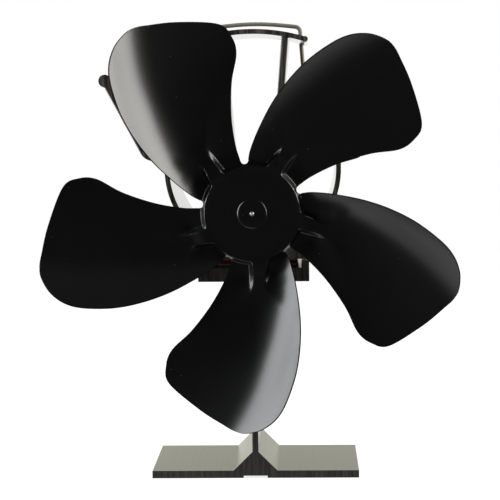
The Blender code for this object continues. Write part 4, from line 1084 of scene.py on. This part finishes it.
SHAFT_RADIUS = 0.00115
POLE_WIDTH = 0.0026
POLE_SHOE = 0.0014
POLE_ARC = 96.0
ARMATURE_RADIUS = 0.0083
SHAFT_BREAK = 0.0002
COIL_WIRE = 0.0003
COIL_GAP = 0.00005
COIL_BUILD = 0.0008
COMMUTATOR_RADIUS = 0.0026
SAW_HALF = 0.00012
SHAFT_TIP = (
    (0, 0.00045), (0.0003, 0.00018), (0.00042, 0.00004), (0.00056, 0), (0.0007, 0.00003),
    (0.00083, 0.00014), (0.00096, 0.0004), (0.00115, 0.0010),
)
GROUND_STEEL = brushed(
    "ground_steel", (300.0, 2500.0, 300.0), (0.50, 0.50, 0.49), (0.62, 0.62, 0.61), 0.3, 0.38,
)
CORE_SHEETS = brushed(
    "core_sheets", (150.0, 2600.0, 150.0), (0.22, 0.22, 0.23), (0.42, 0.42, 0.43), 0.36, 0.5,
)
shaft_low, shaft_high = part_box("motor_shaft")
shaft = turned(
    [(radius, shaft_low.y + back) for radius, back in SHAFT_TIP]
    + [(SHAFT_RADIUS, shaft_high.y - SHAFT_BREAK), (SHAFT_RADIUS - SHAFT_BREAK, shaft_high.y),
       (0, shaft_high.y)],
    (0, 1, 0), ROUND, False,
)
fitted(on_shaft(shaft), "ground_shaft", "shaft_steel", "motor_shaft", GROUND_STEEL, body="rotor")

core_low, core_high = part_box("motor_armature")


def core_part(shape):
    return pushed(shape, core_low.y, core_high.y)


poles = []
shoe_middle = ARMATURE_RADIUS - POLE_SHOE / 2
for number in range(3):
    middle = 90 + 120 * number
    turn = math.radians(middle)
    outward = Vector((math.cos(turn), math.sin(turn)))
    aside = Vector((-outward.y, outward.x)) * POLE_WIDTH / 2
    near, far = outward * SHAFT_RADIUS * 2, outward * shoe_middle
    poles.append(core_part(flat_face([near - aside, far - aside, far + aside, near + aside])))
    first, last = middle - POLE_ARC / 2, middle + POLE_ARC / 2
    shoe = arc_face((0, 0), shoe_middle, POLE_SHOE, first, last, 30)
    poles.append(core_part(shoe))
core = joined(core_part(disc(POLE_WIDTH)), poles, "UNION")
shaft_bore = SHAFT_RADIUS + PRESS_FIT
shaft_hole = rod(shaft_bore, core_low.y - SPARE, core_high.y + SPARE, (0, 1, 0), ROUND)
fitted(
    on_shaft(joined(core, [shaft_hole], "DIFFERENCE")), "stamped_core", "core_steel",
    "motor_armature", CORE_SHEETS, body="rotor",
)

coil_inner = POLE_WIDTH / 2 + COIL_GAP
coil_low = POLE_WIDTH * math.sqrt(3)
coil_outer = coil_inner + COIL_BUILD
coil_high = math.sqrt((ARMATURE_RADIUS - POLE_SHOE) ** 2 - coil_outer ** 2) - COIL_WIRE
coil_turns = int((coil_high - coil_low) / COIL_WIRE)
for number in range(3):
    coil = bmesh.new()
    for turn in range(coil_turns):
        height = coil_low + COIL_WIRE * (turn + 0.5)
        for layer in range(2):
            out = coil_inner + COIL_WIRE * (layer + 0.5)
            end = COIL_WIRE * (layer + 0.5)
            loop = bmesh.ops.create_grid(coil, x_segments=1, y_segments=1, size=1)["verts"]
            for corner in loop:
                corner.co = Vector((
                    math.copysign(out, corner.co.x),
                    core_low.y - end if corner.co.y < 0 else core_high.y + end,
                    height,
                ))
            face = loop[0].link_faces[0]
            bmesh.ops.inset_region(
                coil, faces=[face], thickness=COIL_WIRE / 2, use_even_offset=True, use_boundary=True,
            )
            bmesh.ops.delete(coil, geom=[face], context="FACES")
    thickened(coil, (0, 0, COIL_WIRE * 0.7))
    softened(coil, WIRE_BREAK, 1)
    rolled(coil, -math.tau * number / 3, "Y")
    fitted(
        on_shaft(coil), f"pole_coil_{number + 1}", "copper",
        f"motor_winding_{number + 1}", COPPER, body="rotor",
    )

ring_low, ring_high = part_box("motor_commutator")
commutator = sleeve_of(COMMUTATOR_RADIUS, shaft_bore, ring_low.y, ring_high.y)
saw_cuts = []
for number in range(3):
    saw = box_between(
        (-SAW_HALF, ring_low.y - SPARE, COMMUTATOR_RADIUS - 0.0005),
        (SAW_HALF, ring_high.y + SPARE, COMMUTATOR_RADIUS + 0.0004),
    )
    saw_cuts.append(rolled(saw, math.tau * (number + 0.5) / 3, "Y"))
fitted(
    on_shaft(joined(commutator, saw_cuts, "DIFFERENCE")), "segmented_commutator", "copper",
    "motor_commutator", COPPER, body="rotor",
)


# Hub bush
# A small turned brass bush, a tight fit on the shaft, carries the rotor against its flange.

FLANGE_RADIUS = 0.0064
FLANGE_THICKNESS = 0.001
BUSH_RADIUS = 0.0036
BUSH_BREAK = 0.0002
bush_low, bush_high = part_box("hub_bush")
flange_back = bush_low.y + FLANGE_THICKNESS
bush = turned(
    [(FLANGE_RADIUS, bush_low.y), (FLANGE_RADIUS, flange_back), (BUSH_RADIUS, flange_back),
     (BUSH_RADIUS, bush_high.y), (shaft_bore, bush_high.y), (shaft_bore, bush_low.y)],
    (0, 1, 0), 64,
)
TURNED_BRASS = brushed(
    "turned_brass", (400.0, 2500.0, 400.0), (0.54, 0.40, 0.15), (0.70, 0.54, 0.26), 0.2, 0.3,
)
fitted(
    on_shaft(softened(bush, BUSH_BREAK)), "turned_bush", "bush_brass",
    "hub_bush", TURNED_BRASS, body="rotor",
)


# Rotor
# One aluminium sheet: cut to five blades, then pressed, so that a star stands up round the hub and
# the blades are twisted with their leading edges curled forward. It is sprayed satin black.

ROTOR_RADIUS = 0.09676
ROTOR_Y = EXTRUSION_FRONT - 0.015
ROTOR_THICKNESS = 0.0008
RIM_BREAK = 0.0002
HUB_FOOT = 0.0234
HUB_STEP = 0.0022
HUB_LIFT = 0.0015
HUB_DEPTH = 0.0036
FOLD_SHARE = 0.25
STAMP_RADIUS = 0.0065
STAMP_STEP = 0.0008
STAMP_LIFT = 0.0005
NOTCH_RADIUS = 0.00195
NOTCH_OUT = 0.0243
NOTCH_ANGLE = 25.85
BLADE_RISE_START = 0.020
BLADE_RISE_TOP = 0.0262
BLADE_RISE_SLOPE = 0.41
CURL_HEIGHT = 0.0065
CURL_WIDTH = 0.022
CURL_OUT = 0.0300
ROOT_CURL = 0.0035
ROOT_CURL_WIDTH = 0.002
ROOT_CURL_FADE = (0.032, 0.078)
BLADE_RISE_BLEND = 0.008
ARM_MERGE_OUT = 0.046
POCKET_RISE_OUT = 0.0245
TRAILING_POCKET_END = 0.0365
LEADING_POCKET_END = 0.0335
POCKET_SPREAD = 0.0009
TRAILING_EDGE = (
    (0.2483, 30.2), (0.3267, 31.2), (0.4624, 29.4), (0.6131, 26.2), (0.7388, 23.0),
    (0.8192, 24.0), (0.8845, 27.5), (0.940, 38.5), (0.9815, 46.2), (0.9956, 48.7), (1.0, 51.0),
)
LEADING_EDGE = (
    (0.2483, 93.5), (0.2915, 90.7), (0.3820, 85.0), (0.5040, 79.2), (0.6260, 74.1),
    (0.7440, 69.2), (0.8600, 64.0), (0.9262, 60.4), (0.9705, 56.6), (0.992, 53.3), (1.0, 51.0),
)
TRAILING_LINE = ((0.247, 29.9), (0.46, 28.4), (0.72, 22.5), (1.0, 14.0))
LEADING_LINE = ((0.247, 94.0), (0.46, 82.0), (0.735, 69.8), (1.0, 58.0))
ARM_TRAILING = ((0.2, 51.5), (0.36, 53.5), (0.6, 56.0))
ARM_LEADING = ((0.2, 76.5), (0.30, 66.5), (0.36, 61.5), (0.6, 59.0))
BLADE_ROWS = 72
ROOT_COLUMNS = ((0.0, 0.0), (0.17, 0.9), (0.43, 2.1), (0.55, 3.0), (0.81, 4.1), (1.0, 5.0))
BLADE_COLUMNS = 36
NOTCH_COLUMNS = 10
HUB_RINGS = (
    (0.00117, 0.0016, 1), (0.0016, 0.0061, 5), (0.0061, 0.0077, 6), (0.0077, 0.0202, 8),
    (0.0202, 0.0241, 20),
)
SECTOR = 72
RIM_START = HUB_RINGS[-1][0]
CURL_START = 0.0222
EVEN_START = (0.029, 0.050)
PEEL_SIZE = 0.0012
DUST_SCALE = 190.0
DUST_SIZE = (0.038, 0.02)


def smooth_step(low, high, value):
    share = min(1, max(0, (value - low) / (high - low)))
    return share * share * (3 - 2 * share)


def reading(table, share):
    """Read a table of (share, angle) rows with straight lines between them."""
    for (low, first), (high, last) in zip(table, table[1:]):
        if share <= high:
            return first + (last - first) * (share - low) / (high - low)
    return table[-1][1]


def through(knots, steps):
    """A smooth line through points, with so many steps between each two."""
    padded = [knots[0] * 2 - knots[1], *knots, knots[-1] * 2 - knots[-2]]
    line = []
    for before, start, end, after in zip(padded, padded[1:], padded[2:], padded[3:]):
        for step in range(steps):
            t = step / steps
            line.append(
                (start * 2 + (end - before) * t
                 + (before * 2 - start * 5 + end * 4 - after) * t ** 2
                 + (start * 3 - before - end * 3 + after) * t ** 3) / 2
            )
    return [*line, knots[-1]]


def edge_line(table):
    """A smooth line through a table's points, with the length run so far at each place."""
    knots = [
        Vector((share * math.cos(math.radians(angle)), share * math.sin(math.radians(angle)), 0))
        for share, angle in table
    ]
    line = through(knots, 12)
    runs = [0]
    for before, after in zip(line, line[1:]):
        runs.append(runs[-1] + (after - before).length)
    return line, runs


def place_on(line, runs, share):
    """The (radius, angle) of a place at a share of the line's length."""
    wanted = share * runs[-1]
    at = next(i for i in range(1, len(runs)) if runs[i] >= wanted - WELD)
    spot = line[at - 1].lerp(line[at], (wanted - runs[at - 1]) / (runs[at] - runs[at - 1]))
    return spot.length * ROTOR_RADIUS, math.degrees(math.atan2(spot.y, spot.x))


def blade_height(radius, angle):
    """How far the sheet stands forward at a place on a blade."""
    share = radius / ROTOR_RADIUS
    leading = reading(LEADING_LINE, share)
    trailing = reading(TRAILING_LINE, share)
    across = min(1.2, max(0, (angle - trailing) / (leading - trailing)))
    slope = BLADE_RISE_SLOPE * max(0, radius - BLADE_RISE_START)
    blend = max(0, BLADE_RISE_BLEND - abs(slope - BLADE_RISE_TOP))
    rise = min(BLADE_RISE_TOP, slope) - blend ** 2 / BLADE_RISE_BLEND / 4
    root = 1 - smooth_step(*ROOT_CURL_FADE, radius)
    curl = (CURL_HEIGHT + ROOT_CURL * root) * smooth_step(CURL_START, CURL_OUT, radius)
    from_edge = math.radians(leading - angle) * radius / (CURL_WIDTH + ROOT_CURL_WIDTH * root)
    return (rise - curl) * across ** 1.5 + curl * max(0, 1 - from_edge) ** 2


def pressed_step(low, high, value):
    """A pressed wall from 0 to 1: straight in the middle, with a round fold at each end."""
    share = min(1, max(0, (value - low) / (high - low)))
    curve = 2 * FOLD_SHARE * (1 - FOLD_SHARE)
    if share < FOLD_SHARE:
        return share ** 2 / curve
    if share > 1 - FOLD_SHARE:
        return 1 - (1 - share) ** 2 / curve
    return (share - FOLD_SHARE / 2) / (1 - FOLD_SHARE)


def arm_walls(radius):
    """The angles of the star arm's two walls at a radius, and half the width of a wall's slope."""
    share = radius / ROTOR_RADIUS
    half_step = math.degrees(HUB_STEP / 2 / radius)
    return reading(ARM_TRAILING, share), reading(ARM_LEADING, share), half_step


def star_height(radius, angle):
    """The star stands proud and dies out along the blades. Beside it the sheet is pressed back."""
    low, high, half_step = arm_walls(radius)
    beside_low = 1 - pressed_step(low - half_step, low + half_step, angle)
    beside_high = pressed_step(high - half_step, high + half_step, angle)
    outside = pressed_step(HUB_FOOT - HUB_STEP, HUB_FOOT, radius)
    pocket_end = TRAILING_POCKET_END if angle < (low + high) / 2 else LEADING_POCKET_END
    pocket_end += POCKET_SPREAD * max(0, low - angle, angle - high)
    pocket = outside * max(beside_low, beside_high)
    pocket *= 1 - smooth_step(POCKET_RISE_OUT, pocket_end, radius)
    stamp = 1 - smooth_step(STAMP_RADIUS - STAMP_STEP / 2, STAMP_RADIUS + STAMP_STEP / 2, radius)
    proud = HUB_LIFT * (1 - smooth_step(HUB_FOOT, ARM_MERGE_OUT, radius))
    return proud - HUB_DEPTH * pocket + STAMP_LIFT * stamp


def root_angle(radius, column):
    """A column's angle near the hub, where it follows the star's walls from space to space."""
    share = radius / ROTOR_RADIUS
    low, high, half_step = arm_walls(radius)
    stops = [
        reading(TRAILING_LINE, share), low - half_step, low + half_step,
        high - half_step, high + half_step, reading(LEADING_LINE, share),
    ]
    place = reading(ROOT_COLUMNS, column / BLADE_COLUMNS)
    at = min(int(place), len(stops) - 2)
    return stops[at] + (stops[at + 1] - stops[at]) * (place - at)


trailing_line = edge_line(TRAILING_EDGE)
leading_line = edge_line(LEADING_EDGE)


def blade_place(row, column):
    """(radius, angle) of a corner of the blade's mesh."""
    along = (row / BLADE_ROWS) ** 1.25
    low_radius, low_angle = place_on(*trailing_line, along)
    high_radius, high_angle = place_on(*leading_line, along)
    share = column / BLADE_COLUMNS
    radius = low_radius + (high_radius - low_radius) * share
    even = low_angle + (high_angle - low_angle) * share
    if column in (0, BLADE_COLUMNS):
        return radius, even
    near = root_angle(radius, column)
    return radius, near + (even - near) * smooth_step(*EVEN_START, radius)


def press(radius, angle, blade_rise=None):
    """The place of a spot of the flat sheet once it is pressed."""
    if blade_rise is None:
        blade_rise = blade_height(radius, angle)
    height = blade_rise + star_height(radius, angle)
    turn = math.radians(angle)
    return Vector((radius * math.cos(turn), ROTOR_Y - height, radius * math.sin(turn)))


sheet = bmesh.new()
blade = bmesh.ops.create_grid(sheet, x_segments=BLADE_COLUMNS, y_segments=BLADE_ROWS, size=1)["verts"]
for spot in blade:
    column = round((spot.co.x + 1) / 2 * BLADE_COLUMNS)
    row = round((spot.co.y + 1) / 2 * BLADE_ROWS)
    spot.co = press(*blade_place(row, column))

root = [blade_place(0, column) for column in range(BLADE_COLUMNS + 1)]
gap = root[-1][1] - SECTOR - root[0][1]
shares = [1 - step / NOTCH_COLUMNS for step in range(NOTCH_COLUMNS)]
sector = [(root[0][1] + gap * share, share) for share in shares]
sector += [(angle, None) for _, angle in root]
rings = []
for low, high, count in HUB_RINGS:
    rings += [low + (high - low) * step / count for step in range(count)]
rings.append(root[0][0])
hub = bmesh.ops.create_grid(
    sheet, x_segments=len(sector) - 1, y_segments=len(rings) - 1, size=1,
)["verts"]
for spot in hub:
    angle, share = sector[round((spot.co.x + 1) / 2 * (len(sector) - 1))]
    at = round((spot.co.y + 1) / 2 * (len(rings) - 1))
    radius = rings[at]
    if share is None:
        spot.co = press(radius, angle)
        continue
    aside = NOTCH_OUT * math.radians(angle - NOTCH_ANGLE)
    rim = NOTCH_OUT - math.sqrt(max(0, NOTCH_RADIUS ** 2 - aside ** 2))
    if radius > RIM_START:
        radius = RIM_START + (radius - RIM_START) * (rim - RIM_START) / (rings[-1] - RIM_START)
    last_blade = blade_height(radius, root[-1][1]) * smooth_step(0, 1, share)
    spot.co = press(radius, angle, last_blade)

whole = sheet.verts[:] + sheet.edges[:] + sheet.faces[:]
bmesh.ops.spin(
    sheet, geom=whole, cent=(0, 0, 0), axis=(0, -1, 0), angle=math.radians(4 * SECTOR), steps=4,
    use_duplicate=True,
)
bmesh.ops.remove_doubles(sheet, verts=sheet.verts[:], dist=WELD * 5)
bmesh.ops.recalc_face_normals(sheet, faces=sheet.faces[:])
if sum(face.normal.y for face in sheet.faces) > 0:
    bmesh.ops.reverse_faces(sheet, faces=sheet.faces[:])


def satin_paint(name):
    """Sprayed satin black: nearly smooth, with a faint orange peel and a few specks of dust."""
    material = plain_finish(name, 0.25, 0.0, 0.5)
    skin = pattern(material, GRAIN, Size=PEEL_SIZE)
    tree = material.node_tree
    place = node(tree, "ShaderNodeTexCoord")["Object"]
    dust = node(tree, "ShaderNodeTexVoronoi", {"Vector": place, "Scale": DUST_SCALE})["Distance"]
    speck = spread(tree, dust, *DUST_SIZE)
    colour_between(material, speck, (0.0018, 0.0019, 0.0019), (0.11, 0.11, 0.10))
    roughness_between(material, skin["Broad"], 0.23, 0.29)
    relief(material, skin["Height"], 0.000008)
    return material


SATIN_BLACK = satin_paint("satin_black")
CUT_EDGE = stone(
    "painted_edge", 0.6, (0.004, 0.0035, 0.003), (0.014, 0.012, 0.010), 0.0006, 0.00003, 0.0,
)
plate = placed("plate", mesh_of(on_shaft(sheet), "plate"))
plate.data.materials.append(SATIN_BLACK)
plate.data.materials.append(CUT_EDGE)
thickness = plate.modifiers.new("thickness", "SOLIDIFY")
thickness.thickness = ROTOR_THICKNESS
thickness.offset = -1
thickness.material_offset_rim = 1
fitted(
    softened(settled(plate), RIM_BREAK, 1, 55), "pressed_rotor", "rotor_black",
    "fan_rotor", SATIN_BLACK, CUT_EDGE, body="rotor",
)


# Leads
# Two silicone-covered wires, red and black, leave the module at the back, rise behind the heat sink
# and are soldered to the motor's terminals.

LEAD_RADIUS = 0.0006
LEAD_OUT = 0.004
LEAD_IN_OUT = 0.005
LEAD_BEHIND = 0.0045
TERMINAL_LENGTH = 0.0045
JOINT_GAP = 0.0003


def tube(name, route, radius):
    """Sweep a circle along a route."""
    curve = bpy.data.curves.new(name, "CURVE")
    curve.dimensions = "3D"
    curve.bevel_depth = radius
    curve.bevel_resolution = 4
    curve.use_fill_caps = True
    spline = curve.splines.new("POLY")
    spline.points.add(len(route) - 1)
    for target, spot in zip(spline.points, route):
        target.co = (*spot, 1)
    shape = settled(placed(name + "_line", curve))
    bmesh.ops.recalc_face_normals(shape, faces=shape.faces[:])
    return shape


seal_middle = (seal_low.z + seal_high.z) / 2
behind = EXTRUSION_BACK + LEAD_BEHIND
bore_z = MOTOR_Z - RING_BORE / 2
solder_y = MOTOR_BACK + TERMINAL_LENGTH + JOINT_GAP
for name, side, dark, light, cad_name in (
    ("black_lead", -1, (0.008, 0.008, 0.008), (0.013, 0.013, 0.013), "lead_black"),
    ("red_lead", 1, (0.42, 0.012, 0.01), (0.55, 0.025, 0.02), "lead_red"),
):
    out = side * LEAD_OUT
    points = [
        Vector((out, depth_shift + MODULE_HALF, seal_middle)),
        Vector((out, EXTRUSION_BACK - LEAD_RADIUS, seal_middle)),
        Vector((out, behind - LEAD_RADIUS, seal_middle + LEAD_BEHIND)),
        Vector((out, behind, (seal_middle + bore_z) / 2)),
        Vector((side * LEAD_IN_OUT, EXTRUSION_BACK + LEAD_RADIUS, bore_z)),
        Vector((side * (LEAD_IN_OUT + TERMINAL_OUT) / 2, (EXTRUSION_BACK + solder_y) / 2,
                (bore_z + MOTOR_Z) / 2)),
        Vector((side * TERMINAL_OUT, solder_y, MOTOR_Z)),
    ]
    silicone = stone(name + "_silicone", 0.42, dark, light, 0.0005, 0.00001)
    fitted(tube(name, through(points, 10), LEAD_RADIUS), name, cad_name, cad_name, silicone)


# Handle wire
# One length of drawn stainless wire, bent to a bail. Its ends turn outwards into holes in the bowl's
# arms, where it hinges, and it leans back on the arch's rear edge.

HANDLE_TOP_OUT = 0.0218
HANDLE_FOOT_OUT = 0.0268
HANDLE_RISE = 0.0667
HANDLE_BOW = 0.0016
WIRE_BEND = 0.0026
PIN_END = BOWL_RADIUS + 0.0006
handle_lean = math.asin(
    (EXTRUSION_BACK + WIRE_RADIUS + JOINT_GAP - PIVOT.y)
    / (MOTOR_Z + ARCH_RADIUS - SINK_WALL - WIRE_RADIUS - PIVOT.z)
)


def bend(before, corner, after, radius, steps=10):
    """The round bend that the wire makes in place of a corner."""
    to_before = (before - corner).normalized()
    to_after = (after - corner).normalized()
    half_angle = to_before.angle(to_after) / 2
    reach = radius / math.tan(half_angle)
    middle = corner + (to_before + to_after).normalized() * radius / math.sin(half_angle)
    first = corner + to_before * reach - middle
    turn = first.angle_signed(corner + to_after * reach - middle)
    return [middle + Matrix.Rotation(-turn * step / steps, 2) @ first for step in range(steps + 1)]


foot = Vector((HANDLE_FOOT_OUT, 0))
shoulder = Vector((HANDLE_TOP_OUT, HANDLE_RISE - HANDLE_BOW))
half = [Vector((PIN_END, 0))]
half += bend(Vector((PIN_END, 0)), foot, shoulder, WIRE_BEND)
half += bend(foot, shoulder, Vector((0, HANDLE_RISE)), WIRE_BEND)
bow_start = half[-1]
for step in range(1, 13):
    share = step / 12
    half.append(Vector((
        bow_start.x * (1 - share),
        bow_start.y + (HANDLE_RISE - bow_start.y) * math.sin(share * math.pi / 2),
    )))
flat = [Vector((-spot.x, spot.y)) for spot in half] + list(reversed(half[:-1]))
route = [
    PIVOT + Vector((x, z * math.sin(handle_lean), z * math.cos(handle_lean))) for x, z in flat
]
# The wire's colour is kept dark and nearly not metallic, far from bright stainless steel: painted
# shade, so that the side the right soft box lights stays as dark as the shaded leg.
DRAWN_WIRE_PAINTED_SHADE = brushed(
    "drawn_wire_painted_shade", (300.0, 300.0, 300.0), (0.10, 0.095, 0.075), (0.135, 0.13, 0.10), 0.60, 0.70, 0.15,
    depth=0.0000005,
)
fitted(
    tube("bail", route, WIRE_RADIUS), "wire_bail", "handle_steel",
    "handle_wire", DRAWN_WIRE_PAINTED_SHADE, body="handle",
)
